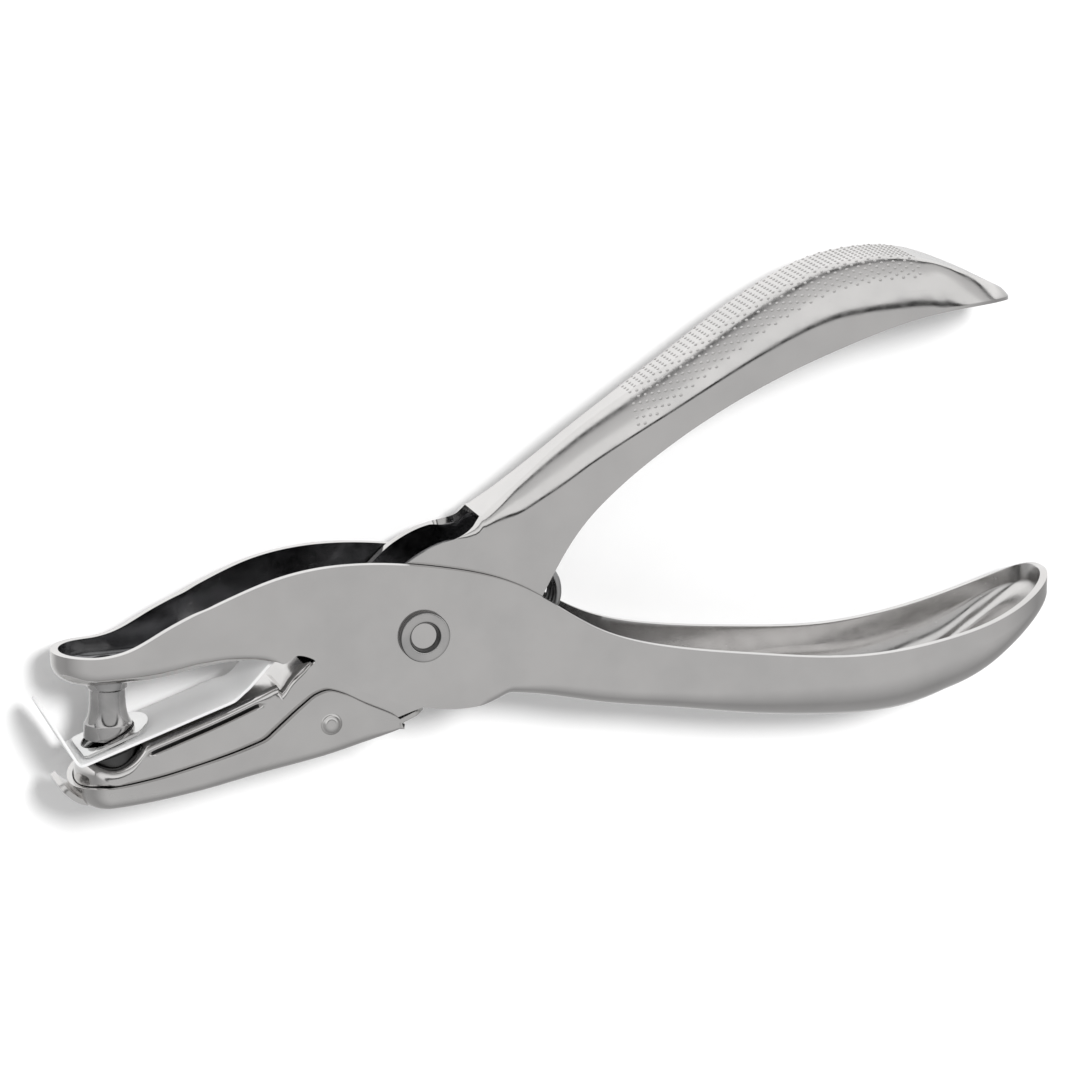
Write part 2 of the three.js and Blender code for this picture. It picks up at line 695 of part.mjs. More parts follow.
// Plan of the stripper: a leaf-shaped tab, the wide plate and the narrow neck.
function stripperPlan() {
  const shape = new THREE.Shape();
  const rear = STRIPPER_EYE_RADIUS + 1;
  shape.moveTo(rear, -STRIPPER_EYE_HALF);
  shape.lineTo(-16, -STRIPPER_EYE_HALF);
  shape.lineTo(-18.2, -STRIPPER_NECK_HALF);
  shape.lineTo(-21.5, -STRIPPER_NECK_HALF);
  shape.bezierCurveTo(-23.5, -STRIPPER_NECK_HALF, -23, -STRIPPER_HALF, -26, -STRIPPER_HALF);
  shape.lineTo(STRIPPER_FRONT + 0.3, -STRIPPER_HALF);
  shape.lineTo(STRIPPER_FRONT, -STRIPPER_HALF + 0.3);
  shape.bezierCurveTo(-47.5, -4.6, -49.2, -3.4, -49.5, 0);
  shape.bezierCurveTo(-49.2, 3.4, -47.5, 4.6, STRIPPER_FRONT, STRIPPER_HALF - 0.3);
  shape.lineTo(STRIPPER_FRONT + 0.3, STRIPPER_HALF);
  shape.lineTo(-26, STRIPPER_HALF);
  shape.bezierCurveTo(-23, STRIPPER_HALF, -23.5, STRIPPER_NECK_HALF, -21.5, STRIPPER_NECK_HALF);
  shape.lineTo(-18.2, STRIPPER_NECK_HALF);
  shape.lineTo(-16, STRIPPER_EYE_HALF);
  shape.lineTo(rear, STRIPPER_EYE_HALF);
  shape.closePath();
  return shape;
}

function stripperPlate() {
  const ribbon = sideSlab(ribbonShape(stripperPath(), STRIPPER_SHEET), -STRIPPER_HALF, STRIPPER_HALF);
  const solid = ribbon
    .intersect(planSlab(stripperPlan(), -30, 30))
    .subtract(jawPlug(HOLE_RADIUS + 0.6, -3, 3));
  return toGeometry(solid);
}

// Second layer round the punch, rounded behind, whose rear stands a little off the plate.
function stripperPad() {
  const thickness = 0.4;
  const half = 4.4;
  const rearRadius = 5.5;
  const frontReach = 4.2;
  const lift = THREE.MathUtils.degToRad(2.2);
  const cornerTurn = Math.asin(half / rearRadius);
  const shape = new THREE.Shape();
  shape.moveTo(-frontReach, half);
  shape.lineTo(-frontReach, -half);
  shape.absarc(0, 0, rearRadius, -cornerTurn, cornerTurn, false);
  shape.closePath();
  const geometry = new THREE.ExtrudeGeometry(shape, {
    depth: thickness,
    bevelEnabled: false,
    curveSegments: 16,
  });
  geometry.rotateX(-Math.PI / 2);
  geometry.translate(0, -0.05, 0);
  geometry.rotateZ(JAW_SLOPE + lift);
  geometry.translate(PUNCH_POINT.x, PUNCH_POINT.y, 0);
  return toGeometry(toSolid(geometry).subtract(jawPlug(HOLE_RADIUS + 0.45, -3, 3)));
}

// ---------------------------------------------------------------------------------------
// Chip tray
// ---------------------------------------------------------------------------------------

const TRAY_ROUND_START = TRAY_TIP + 4.2;
const TRAY_REAR = -2.6;
const TONGUE_HALF = 4.0;

const trayFloor = curveThrough([
  [-44, -19.3],
  [-40, -19.2],
  [-30, -18],
  [-23, -16.8],
  [-13.7, -15.4],
  [-8, -14],
  [-4.2, -12.9],
  [1, -10.7],
]);

// The tray's walls run just outside the inner lever's.
function trayHalfWidth(x) {
  return innerHalfWidth(x) + FIT + TRAY_SHEET;
}

const trayProfile = {
  openY: 0,
  halfWidth: (x, inset) => trayHalfWidth(x) * roundedEnd(x, TRAY_ROUND_START, TRAY_TIP, inset),
  endFactor: (x, inset) => roundedEnd(x, TRAY_ROUND_START, TRAY_TIP, inset),
  web: (x) => trayFloor(x) + 1.3 * Math.max((-43.4 - x) / 1.6, 0) ** 2,
  cornerAcross: () => 1.6,
  cornerUp: () => 1.6,
};

// What is kept of the tray in the side view: low walls with a raised ear at each dimple.
function traySideShape() {
  const shape = new THREE.Shape();
  shape.moveTo(-50, -17.2);
  shape.lineTo(-44.6, -17);
  shape.splineThru([
    new THREE.Vector2(-43, -16.4),
    new THREE.Vector2(-40.2, -16.3),
    new THREE.Vector2(-35.3, -15.6),
    new THREE.Vector2(-29, -14.2),
    new THREE.Vector2(-20.9, -12.1),
  ]);
  shape.lineTo(-15.6, -8);
  shape.splineThru([
    new THREE.Vector2(-14, -6.8),
    new THREE.Vector2(-12.4, -6.4),
    new THREE.Vector2(-10.6, -6.9),
    new THREE.Vector2(-7.4, -8.6),
    new THREE.Vector2(-3.8, -10.4),
    new THREE.Vector2(-2.9, -11.6),
  ]);
  shape.lineTo(TRAY_REAR, -13);
  shape.lineTo(TRAY_REAR, -25);
  shape.lineTo(-50, -25);
  shape.closePath();
  return shape;
}

// The tray's rear tongue, which follows the floor upwards between the ears.
function trayTongue() {
  const places = evenSteps(TRAY_REAR - 2, 0.8, 5);
  const line = places.map((x) => new THREE.Vector2(x, trayFloor(x) + TRAY_SHEET * 0.55));
  return sideSlab(ribbonShape(line, TRAY_SHEET), -TONGUE_HALF, TONGUE_HALF);
}

// A thumb lip that stands out from the tray's front.
function trayLip() {
  const half = 3.6;
  const plan = new THREE.Shape();
  plan.moveTo(-43.6, -half);
  plan.lineTo(-45.2, -half);
  plan.bezierCurveTo(-46.6, -half, -47, -1.8, -47, 0);
  plan.bezierCurveTo(-47, 1.8, -46.6, half, -45.2, half);
  plan.lineTo(-43.6, half);
  plan.closePath();
  const line = [
    new THREE.Vector2(-43.8, -18.7),
    new THREE.Vector2(-45.2, -18.0),
    new THREE.Vector2(-46.4, -16.9),
    new THREE.Vector2(-46.9, -15.9),
  ];
  return sideSlab(ribbonShape(line, TRAY_SHEET), -half, half).intersect(planSlab(plan, -25, 0));
}

function dimpleBall(z) {
  const radius = 1.6;
  const sink = 0.95;
  const geometry = new THREE.SphereGeometry(radius, 20, 12);
  geometry.translate(DIMPLE.x, DIMPLE.y, Math.sign(z) * (Math.abs(z) - sink));
  return toSolid(geometry);
}

function chipTray() {
  const places = [...evenSteps(TRAY_ROUND_START + 1.5, -19.5, 8), ...evenSteps(-18.5, TRAY_REAR, 12)];
  const outside = [...roundSteps(TRAY_ROUND_START, TRAY_TIP, 0).reverse(), ...places];
  const inside = [
    ...roundSteps(TRAY_ROUND_START, TRAY_TIP, TRAY_SHEET).reverse(),
    ...places,
    TRAY_REAR + 1,
  ];
  const trough = pressedChannel(trayProfile, outside, inside, TRAY_SHEET)
    .intersect(sideSlab(traySideShape(), -20, 20));
  const half = trayHalfWidth(DIMPLE.x);
  const inner = boxBetween([-30, -20, TRAY_SHEET - half], [0, 0, half - TRAY_SHEET]);
  const dimples = dimpleBall(half).add(dimpleBall(-half)).subtract(inner);
  return toGeometry(trough.add(trayTongue()).add(trayLip()).add(dimples));
}

// ---------------------------------------------------------------------------------------
// Return spring
// ---------------------------------------------------------------------------------------

const SPRING_CENTRE = new THREE.Vector2(15.2, 3.2);
const SPRING_WIRE = 1.1;
const COIL_RADIUS = 4.25;
const COIL_PITCH = 1.3;
const COIL_START = 230; // degrees; the coil turns clockwise from here
const COIL_SWEEP = 1160;
const LOWER_LEG = 15.0;
const UPPER_LEG = 18.0;

// Centre line of the torsion spring: lower leg, three turns and upper leg.
class SpringLine extends THREE.Curve {
  constructor() {
    super();
    this.coilLength = THREE.MathUtils.degToRad(COIL_SWEEP) * COIL_RADIUS;
    this.total = LOWER_LEG + this.coilLength + UPPER_LEG;
  }

  coilPoint(travel) {
    const turned = travel / COIL_RADIUS;
    const angle = THREE.MathUtils.degToRad(COIL_START) - turned;
    const z = (turned / (Math.PI * 2) - COIL_SWEEP / 720) * COIL_PITCH;
    return new THREE.Vector3(
      SPRING_CENTRE.x + COIL_RADIUS * Math.cos(angle),
      SPRING_CENTRE.y + COIL_RADIUS * Math.sin(angle),
      z,
    );
  }

  heading(travel) {
    const angle = THREE.MathUtils.degToRad(COIL_START) - travel / COIL_RADIUS;
    return new THREE.Vector3(Math.sin(angle), -Math.cos(angle), 0);
  }

  getPoint(t, target = new THREE.Vector3()) {
    const travel = t * this.total - LOWER_LEG;
    if (travel < 0) return target.copy(this.coilPoint(0)).addScaledVector(this.heading(0), travel);
    if (travel <= this.coilLength) return target.copy(this.coilPoint(travel));
    const past = travel - this.coilLength;
    return target
      .copy(this.coilPoint(this.coilLength))
      .addScaledVector(this.heading(this.coilLength), past);
  }
}

function returnSpring() {
  const section = new THREE.Shape();
  section.absarc(0, 0, SPRING_WIRE / 2, 0, Math.PI * 2, false);
  const geometry = new THREE.ExtrudeGeometry(section, {
    extrudePath: new SpringLine(),
    steps: 84,
    curveSegments: 4,
    bevelEnabled: false,
  });
  return toGeometry(toSolid(geometry));
}

// ---------------------------------------------------------------------------------------
// Assembly
// ---------------------------------------------------------------------------------------

const NICKEL = { color: 0xb9b7b4, roughness: 0.22, metalness: 1 };
const SPRING_STEEL = { color: 0x8f8d8a, roughness: 0.35, metalness: 1 };
const TOOL_STEEL = { color: 0x9c9a97, roughness: 0.28, metalness: 1 };

const PIECES = [
  ['outer_lever', outerLever, NICKEL],
  ['inner_lever', innerLever, NICKEL],
  ['pivot_rivet', pivotRivet, NICKEL],
  ['pivot_bush', pivotBush, TOOL_STEEL],
  ['punch_pin', punchPin, TOOL_STEEL],
  ['die_bush', dieBush, TOOL_STEEL],
  ['stripper_plate', stripperPlate, NICKEL],
  ['stripper_pad', stripperPad, NICKEL],
  ['chip_tray', chipTray, NICKEL],
  ['return_spring', returnSpring, SPRING_STEEL],
];

const punch = new THREE.Group();
for (const [name, build, finish] of PIECES) {
  const mesh = new THREE.Mesh(build(), new THREE.MeshStandardMaterial(finish));
  mesh.name = name;
  punch.add(mesh);
}

const box = new THREE.Box3().setFromObject(punch);
const centre = box.getCenter(new THREE.Vector3());
punch.position.set(-centre.x, -centre.y, -box.min.z);

export default punch;
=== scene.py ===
"""Looks of a single-hole hand punch of plated pressed steel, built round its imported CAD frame.

Shapes are drawn in millimetres from the pivot's centre: X runs from the nose to the handles'
ends, Y towards the upper handle and Z along the pivot. to_row() turns them into the frame's
metres.
"""

import math

import bmesh
import bpy
import numpy as np
from mathutils import Matrix, Vector


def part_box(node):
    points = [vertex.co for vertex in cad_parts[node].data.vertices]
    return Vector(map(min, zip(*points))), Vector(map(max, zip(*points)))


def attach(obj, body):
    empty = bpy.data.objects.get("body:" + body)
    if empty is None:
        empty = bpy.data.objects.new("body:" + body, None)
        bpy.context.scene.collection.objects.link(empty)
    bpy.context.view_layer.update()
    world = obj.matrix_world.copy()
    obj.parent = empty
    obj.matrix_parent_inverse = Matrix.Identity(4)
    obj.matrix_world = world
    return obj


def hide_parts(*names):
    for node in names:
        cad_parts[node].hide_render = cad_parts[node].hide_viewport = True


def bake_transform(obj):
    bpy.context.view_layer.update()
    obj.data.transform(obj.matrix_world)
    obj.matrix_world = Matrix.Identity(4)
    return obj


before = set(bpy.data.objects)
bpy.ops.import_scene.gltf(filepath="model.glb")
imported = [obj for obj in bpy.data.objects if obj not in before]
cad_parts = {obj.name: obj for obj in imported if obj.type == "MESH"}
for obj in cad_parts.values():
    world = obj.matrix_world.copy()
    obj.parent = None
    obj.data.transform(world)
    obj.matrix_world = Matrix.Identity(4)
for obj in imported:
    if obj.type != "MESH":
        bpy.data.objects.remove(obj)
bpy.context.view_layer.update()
PIVOT = sum(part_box("pivot_bush"), Vector()) / 2  # the bush is centred on the pivot

# Sizes shared with the CAD, in millimetres.
SHEET = 1.0
FIT = 0.3
OUTER_HALF = 6.5
NOSE_HALF = 5.6
INNER_HALF = 5.2
JAW_HALF = 6.6
HANDLE_HALF = 9.0
NOSE_TIP = -46.9
NOSE_ROUND_START = NOSE_TIP + NOSE_HALF
JAW_TIP = -44.2
JAW_ROUND_START = JAW_TIP + 4.6
LOWER_TIP = 88.0
LOWER_ROUND_START = 72.0
UPPER_TIP = 81.6
UPPER_ROUND_START = 68.0
JAW_SLOPE = math.radians(19)
PUNCH_X, PUNCH_Y = -39.8, -11.5
HOLE_RADIUS = 6.35 / 2
BORE_RADIUS = HOLE_RADIUS + 0.45  # through the die and the stripper's pad
DIE_RADIUS = 4.6
NOSE_FLOOR = -3.6
JAW_TOP_DROP = 1.15
JAW_STEP = -18.3  # where the jaw's top starts to climb towards the pivot
JAW_WEB_REAR = -15.2
WEB_FRONT = 8.4
CORNER_POWER = 1.65  # above 1, the upper handle's corners flatten towards chamfers
TRAY_SHEET = 0.7
TRAY_TIP = -45.0
TRAY_ROUND_START = -40.8
TRAY_REAR = -2.6
DIMPLE_X, DIMPLE_Y = -12.2, -10.7
STRIPPER_SHEET = 0.35
RELIEF_HALF = 4.6  # the gap in the nose's web that the stripper climbs into
RELIEF_FRONT = -26.5
STRIPPER_DROP = 0.35
BUSH_RADIUS = 3.7
RIVET_RADIUS = 2.4
RIVET_HEAD_RADIUS = 3.3


# ------------------------------------------------------------------------------------------
# Curves
# ------------------------------------------------------------------------------------------


def smooth_curve(*knots):
    """A natural cubic spline through (x, y) knots, level beyond both ends."""
    xs, ys = (np.array(column, float) for column in zip(*knots))
    gaps = np.diff(xs)
    slopes = np.diff(ys) / gaps
    matrix = np.eye(len(xs))
    right = np.zeros(len(xs))
    for i in range(1, len(xs) - 1):
        matrix[i, i - 1 : i + 2] = gaps[i - 1], 2 * (gaps[i - 1] + gaps[i]), gaps[i]
        right[i] = 6 * (slopes[i] - slopes[i - 1])
    bends = np.linalg.solve(matrix, right)

    def value(x):
        x = min(max(x, xs[0]), xs[-1])
        i = min(max(int(np.searchsorted(xs, x)) - 1, 0), len(xs) - 2)
        before, after, gap = x - xs[i], xs[i + 1] - x, gaps[i]
        cubic = (bends[i] * after**3 + bends[i + 1] * before**3) / (6 * gap)
        start = (ys[i] / gap - bends[i] * gap / 6) * after
        end = (ys[i + 1] / gap - bends[i + 1] * gap / 6) * before
        return cubic + start + end

    return value


def steady_curve(*knots):
    """A curve through (x, y) knots that never overshoots them, level beyond both ends."""
    xs, ys = (np.array(column, float) for column in zip(*knots))
    slopes = np.diff(ys) / np.diff(xs)
    pulls = np.zeros(len(xs))
    for i in range(1, len(xs) - 1):
        if slopes[i - 1] * slopes[i] > 0:
            pulls[i] = 2 / (1 / slopes[i - 1] + 1 / slopes[i])

    def value(x):
        x = min(max(x, xs[0]), xs[-1])
        i = min(max(int(np.searchsorted(xs, x)) - 1, 0), len(xs) - 2)
        gap = xs[i + 1] - xs[i]
        t = (x - xs[i]) / gap
        rise = t * t * (3 - 2 * t)
        start_pull = t * (1 - t) ** 2 * gap * pulls[i]
        end_pull = t * t * (t - 1) * gap * pulls[i + 1]
        return ys[i] + (ys[i + 1] - ys[i]) * rise + start_pull + end_pull

    return value


def jaw_line(x, drop):
    """Height of a line along the open jaw, drop under the punch's end."""
    return PUNCH_Y + math.tan(JAW_SLOPE) * (x - PUNCH_X) - drop / math.cos(JAW_SLOPE)


def to_row(x, y, z):
    """A place in the frame, in metres, from millimetres from the pivot."""
    return PIVOT + Vector((x, y, z)) / 1000


def arc_points(radius, angles):
    """Points on a circle round the origin."""
    return [(radius * math.cos(angle), radius * math.sin(angle)) for angle in angles]


def spaced(marks, spacing):
    """Even steps between marks, each mark included."""
    steps = [marks[0]]
    for start, end in zip(marks, marks[1:]):
        count = max(1, round(abs(end - start) / spacing))
        steps.extend(start + (end - start) * i / count for i in range(1, count + 1))
    return steps


# ------------------------------------------------------------------------------------------
# Meshes
# ------------------------------------------------------------------------------------------


def new_object(name, mesh):
    """Puts a mesh, a curve, a camera or a light into the scene."""
    piece = bpy.data.objects.new(name, mesh)
    bpy.context.scene.collection.objects.link(piece)
    return piece


def paint(piece, materials):
    for material in materials:
        piece.data.materials.append(material)


def everywhere(x, z):
    """Keeps every face of a grid."""
    return True


def grid_object(name, rows, closed=False, kept=everywhere):
    """A sheet through rows of points in millimetres, with the faces that kept(x, |z|) names."""
    net = bmesh.new()
    verts = [[net.verts.new(to_row(*point)) for point in row] for row in rows]
    pairs = list(zip(range(len(rows) - 1), range(1, len(rows))))
    if closed:
        pairs.append((len(rows) - 1, 0))
    for i, k in pairs:
        for j in range(len(rows[0]) - 1):
            corners = [rows[i][j], rows[k][j], rows[k][j + 1], rows[i][j + 1]]
            centre = np.mean(corners, axis=0)
            if kept(centre[0], abs(centre[2])):
                net.faces.new((verts[i][j], verts[k][j], verts[k][j + 1], verts[i][j + 1]))
    bmesh.ops.remove_doubles(net, verts=net.verts, dist=1e-6)
    bmesh.ops.dissolve_degenerate(net, edges=net.edges, dist=1e-7)
    loose = [vert for vert in net.verts if not vert.link_faces]
    bmesh.ops.delete(net, geom=loose, context="VERTS")
    return net_object(name, net)


def net_object(name, net):
    """Ends a bmesh as a named object."""
    mesh = bpy.data.meshes.new(name)
    net.to_mesh(mesh)
    net.free()
    return new_object(name, mesh)


def add_ring(net, centre, across, side, radius, count):
    """A circle of vertices round centre, in the plane of two unit vectors."""
    ring = []
    for i in range(count):
        angle = 2 * math.pi * i / count
        spoke = across * math.cos(angle) + side * math.sin(angle)
        ring.append(net.verts.new(to_row(*(centre + spoke * radius))))
    return ring


def add_skin(net, rings):
    """Faces from each ring of vertices to the next."""
    for low, high in zip(rings, rings[1:]):
        for i in range(len(low)):
            k = (i + 1) % len(low)
            net.faces.new((low[i], low[k], high[k], high[i]))


def face_away_from(piece, inside):
    """Turns an open sheet's faces so that most look away from a point in millimetres."""
    origin = to_row(*inside)
    mesh = piece.data
    votes = sum(face.normal.dot(face.center - origin) * face.area for face in mesh.polygons)
    if votes < 0:
        mesh.flip_normals()


def bake_modifiers(piece):
    """Replaces a piece's mesh with what its modifiers make of it."""
    graph = bpy.context.evaluated_depsgraph_get()
    mesh = bpy.data.meshes.new_from_object(piece.evaluated_get(graph))
    piece.modifiers.clear()
    piece.data = mesh


def thicken(piece, thickness, inner_slot=0):
    """Gives a sheet its thickness, inwards from its faces."""
    solid = piece.modifiers.new("sheet", "SOLIDIFY")
    solid.thickness = thickness / 1000
    solid.offset = -1
    solid.use_even_offset = True
    solid.use_quality_normals = True
    solid.material_offset = inner_slot


def cut_with(piece, tool):
    """Cuts a tool object out of a piece and throws the tool away."""
    cut = piece.modifiers.new("cut", "BOOLEAN")
    cut.operation = "DIFFERENCE"
    cut.solver = "MANIFOLD"
    cut.object = tool
    bpy.context.view_layer.update()
    bake_modifiers(piece)
    bpy.data.objects.remove(tool)


def soften_edges(piece, width, segments=3, angle=50):
    """Rounds a piece's sharp edges and shades it smoothly."""
    bevel = piece.modifiers.new("edges", "BEVEL")
    bevel.width = width / 1000
    bevel.segments = segments
    bevel.limit_method = "ANGLE"
    bevel.angle_limit = math.radians(angle)
    bevel.use_clamp_overlap = True
    bake_modifiers(piece)
    piece.data.shade_smooth()
    piece.data.set_sharp_from_angle(angle=math.radians(40))
    weigh = piece.modifiers.new("normals", "WEIGHTED_NORMAL")
    weigh.keep_sharp = True
    weigh.weight = 60
    bake_modifiers(piece)


def turned_object(name, profile, place, axis, segments=96):
    """A turned solid: (radius, along) points round an axis through place."""
    net = bmesh.new()
    turn = Vector((0, 0, 1)).rotation_difference(Vector(axis)).to_matrix()
    across, side, ahead = (turn @ Vector(unit) for unit in ((1, 0, 0), (0, 1, 0), (0, 0, 1)))
    centre = Vector(place)
    rings = [
        add_ring(net, centre + ahead * along, across, side, radius, segments)
        for radius, along in profile
    ]
    add_skin(net, rings)
    bmesh.ops.remove_doubles(net, verts=net.verts, dist=1e-7)
    bmesh.ops.recalc_face_normals(net, faces=net.faces)
    return net_object(name, net)


def tube_object(name, points, radius, sides=14):
    """A round wire along close-set points in millimetres, its ends' rims rounded."""
    net = bmesh.new()
    line = [Vector(point) for point in points]
    ahead = (line[1] - line[0]).normalized()
    across = ahead.cross(Vector((0, 0, 1))).normalized()
    rings = []
    for i, point in enumerate(line):
        after = line[min(i + 1, len(line) - 1)]
        before = line[max(i - 1, 0)]
        new_ahead = (after - before).normalized()
        across = (ahead.rotation_difference(new_ahead) @ across).normalized()
        ahead = new_ahead
        rings.append(add_ring(net, point, across, ahead.cross(across), radius, sides))
    add_skin(net, rings)
    net.faces.new(reversed(rings[0]))
    net.faces.new(rings[-1])
    bmesh.ops.recalc_face_normals(net, faces=net.faces)
    piece = net_object(name, net)
    soften_edges(piece, radius * 0.3, segments=2)
    return piece


# ------------------------------------------------------------------------------------------
# Pressed channels
# ------------------------------------------------------------------------------------------

STATION_SPACING = 0.5
WALL_STEPS = (0.0, 0.11, 0.22, 0.33, 0.44, 0.55, 0.7, 0.9, 1.4)  # from the corner, in mm
WALL_SHARE = 0.6  # how much of a low wall those steps may take up
WALL_REST = 5  # even steps over the rest of the wall
CORNER_STEPS = 12
WEB_STEPS = 4
LEAST_WALL = 0.4
GROOVE_DROP = 0.3  # from the corner to the middle of a groove in the wall
GROOVE_WIDTH = 0.22
BARELY = 0.01  # slack for faces that end just on a boundary


class Channel:
    """A pressed channel: how its rim, web and corners run along X.

    across and up are a corner's reach over the web and up the wall; split is how far from
    the middle the web's faces change, so that a gap can end there.
    """

    def __init__(
        self, rim, web, across, up, split=3.0, groove=lambda x: 0.0, power=lambda x: 1.0
    ):
        self.rim = rim
        self.web = web
        self.across = across
        self.up = up
        self.split = split
        self.groove = groove
        self.power = power

    def section(self, station):
        """Points from the rim down the wall, round the corner and over the web."""
        x, z, middle_x = station
        reach = math.hypot(x - middle_x, z)
        rim, web = self.rim(x), self.web(x)
        side = 1 if rim > web else -1
        across = min(self.across(x), reach * 0.98)
        up = min(self.up(x), max(abs(rim - web) - LEAST_WALL, 0.05))
        groove = self.groove(x)
        wall = abs(rim - web) - up

        def at(distance_in, lift):
            share = 1 - distance_in / reach
            px = middle_x + (x - middle_x) * share
            return (px, self.web(px) + side * lift, z * share)

        points = []
        highest = wall * WALL_SHARE
        fixed = [step for step in WALL_STEPS if step < highest]
        fixed += [highest] * (len(WALL_STEPS) - len(fixed))
        rest = [fixed[-1] + (wall - fixed[-1]) * i / WALL_REST for i in range(1, WALL_REST + 1)]
        for step in reversed(fixed + rest):
            dent = groove * math.exp(-(((step - GROOVE_DROP) / GROOVE_WIDTH) ** 2))
            points.append(at(dent, up + step))
        for i in range(1, CORNER_STEPS + 1):
            turn = math.pi / 2 * i / CORNER_STEPS
            inwards = 1 - max(math.cos(turn), 0) ** self.power(x)
            points.append(at(across * inwards, up * (1 - math.sin(turn) ** self.power(x))))
        flat = reach - across
        split = min(self.split, flat * 0.9)
        for start, end in ((flat, split), (split, 0.0)):
            for i in range(1, WEB_STEPS + 1):
                points.append(at(reach - start - (end - start) * i / WEB_STEPS, 0.0))
        return points


def straight_stations(marks, half_width):
    """Stations along the +Z side; each is a place on the rim and the X it faces."""
    return [(x, half_width(x), x) for x in spaced(marks, STATION_SPACING)]


def tip_stations(start, tip, half, bluntness=2.0, count=36):
    """Stations round a tip from its +Z side to its -Z side, both ends left out."""
    stations = []
    for i in range(1, count):
        angle = math.pi * i / count
        along = math.sin(angle) ** (2 / bluntness)
        over = abs(math.cos(angle)) ** (2 / bluntness) * math.copysign(1, math.cos(angle))
        stations.append((start + (tip - start) * along, half * over, start))
    return stations


def flipped(stations):
    """The same stations on the other side, in the same order."""
    return [(x, -z, middle) for x, z, middle in stations]


def paint_groove_shade(piece, channel):
    """Gives the faces in the wall's groove the third material, a dark grey that paints the groove's
    shade.
    """
    for face in piece.data.polygons:
        x, y, _ = (face.center - PIVOT) * 1000
        drop = abs(channel.web(x) - y) - channel.up(x)
        if channel.groove(x) > 0.4 and abs(drop - GROOVE_DROP) < GROOVE_WIDTH:
            face.material_index = 2


def channel_object(
    name, stations, channel, finish, sheet, inside, closed=True, kept=everywhere
):
    """Presses a sheet to shape; finish holds its outside material, then the painted shade of its
    inside and of its groove.
    """
    rows = [channel.section(station) for station in stations]
    piece = grid_object(name, rows, closed, kept)
    paint(piece, finish)
    # paints the groove's shade with the third material
    paint_groove_shade(piece, channel)
    face_away_from(piece, inside)
    thicken(piece, sheet, inner_slot=1)
    bake_modifiers(piece)
    return piece


# ------------------------------------------------------------------------------------------
# Levers
# ------------------------------------------------------------------------------------------

NOSE_WEB_REAR = -19.0
HANDLE_WEB_FRONT = 12.0
nose_web = smooth_curve(
    (-48, -3.6), (-36, -3.6), (-33, -3.3), (-26, -1.8), (-21, -1.7), (-18, -2.0),
)
outer_cheek_edge = steady_curve(
    (-19, -1.95), (-18.4, -2.2), (-16.6, -1.2), (-14.8, -1.7), (-12.8, -3.6), (-7.2, -7.1),
    (-1, -9.3), (5, -10.1), (9.5, -9.7), (12, -9.1),
)
lower_handle_web = smooth_curve(
    (12, -9.1), (16, -9.7), (25, -11.7), (35, -13.3), (45, -15.1), (55, -16.3), (63, -16.5),
    (68, -15.8), (73, -14.0), (78, -11.2), (83, -7.4), (86, -5.0), (88, -3.6),
)


def outer_web(x):
    """The outer lever's underside: nose, then the cheeks' edge, then the lower handle."""
    if x < NOSE_WEB_REAR:
        return nose_web(x)
    return outer_cheek_edge(x) if x < HANDLE_WEB_FRONT else lower_handle_web(x)


def outer_lever(finish):
    """Nose, cheeks and lower handle in one pressing, open upwards."""
    half_width = steady_curve(
        (-29.6, NOSE_HALF), (-27.2, 6.02), (-19, OUTER_HALF), (26, OUTER_HALF),
        (40, 7.3), (55, 8.6), (67, HANDLE_HALF), (75, HANDLE_HALF),
    )
    rim = smooth_curve(
        (-48, 0.2), (-44, 0.2), (-40.8, 0.25), (-37.6, 0.95), (-33.5, 3.0), (-28, 5.5), (-20, 8.6),
        (-8, 9.95), (4, 8.3), (14, 4.9), (23, -0.8), (33, -4.2), (46, -6.1), (59, -7.1),
        (71, -5.8), (81, -2.9), (87, 0.1), (88, 0.7),
    )
    channel = Channel(
        rim=rim,
        web=outer_web,
        across=steady_curve(
            (-34, 2.4), (-22, 1.3), (-17.8, 0.02), (7, 0.02), (12, 2.4), (20, 2.6), (35, 3.4),
            (55, 6.6), (66, 7.2), (82, 5.2), (88, 3.0),
        ),
        up=steady_curve(
            (-34, 2.4), (-22, 1.3), (7, 1.3), (20, 2.6), (35, 3.4), (55, 6.4), (68, 6.8),
            (82, 3.6), (88, 2.0),
        ),
        split=RELIEF_HALF,
    )

    def kept(x, z):
        if x < NOSE_WEB_REAR:
            in_relief = x > RELIEF_FRONT and z < RELIEF_HALF
            return not in_relief
        return x > HANDLE_WEB_FRONT or z > half_width(x) - channel.across(x) - BARELY

    marks = (
        NOSE_ROUND_START, -29.6, RELIEF_FRONT, NOSE_WEB_REAR, -14, HANDLE_WEB_FRONT,
        LOWER_ROUND_START,
    )
    near = straight_stations(marks, half_width)
    handle_end = tip_stations(LOWER_ROUND_START, LOWER_TIP, HANDLE_HALF, bluntness=2.4, count=60)
    nose_end = flipped(tip_stations(NOSE_ROUND_START, NOSE_TIP, NOSE_HALF))
    stations = near + handle_end + flipped(reversed(near)) + nose_end
    piece = channel_object(
        "outer_lever_pressing", stations, channel, finish, SHEET, inside=(20, 0, 0), kept=kept
    )
    soften_edges(piece, 0.3)
    return piece


def valley(x):
    """Depth of the dip in the jaw's top that shows the die."""
    middle, half_length, depth = PUNCH_X + 0.4, 3.3, 1.7
    share = (x - middle) / half_length
    return depth * max(1 - share * share, 0) ** 1.2


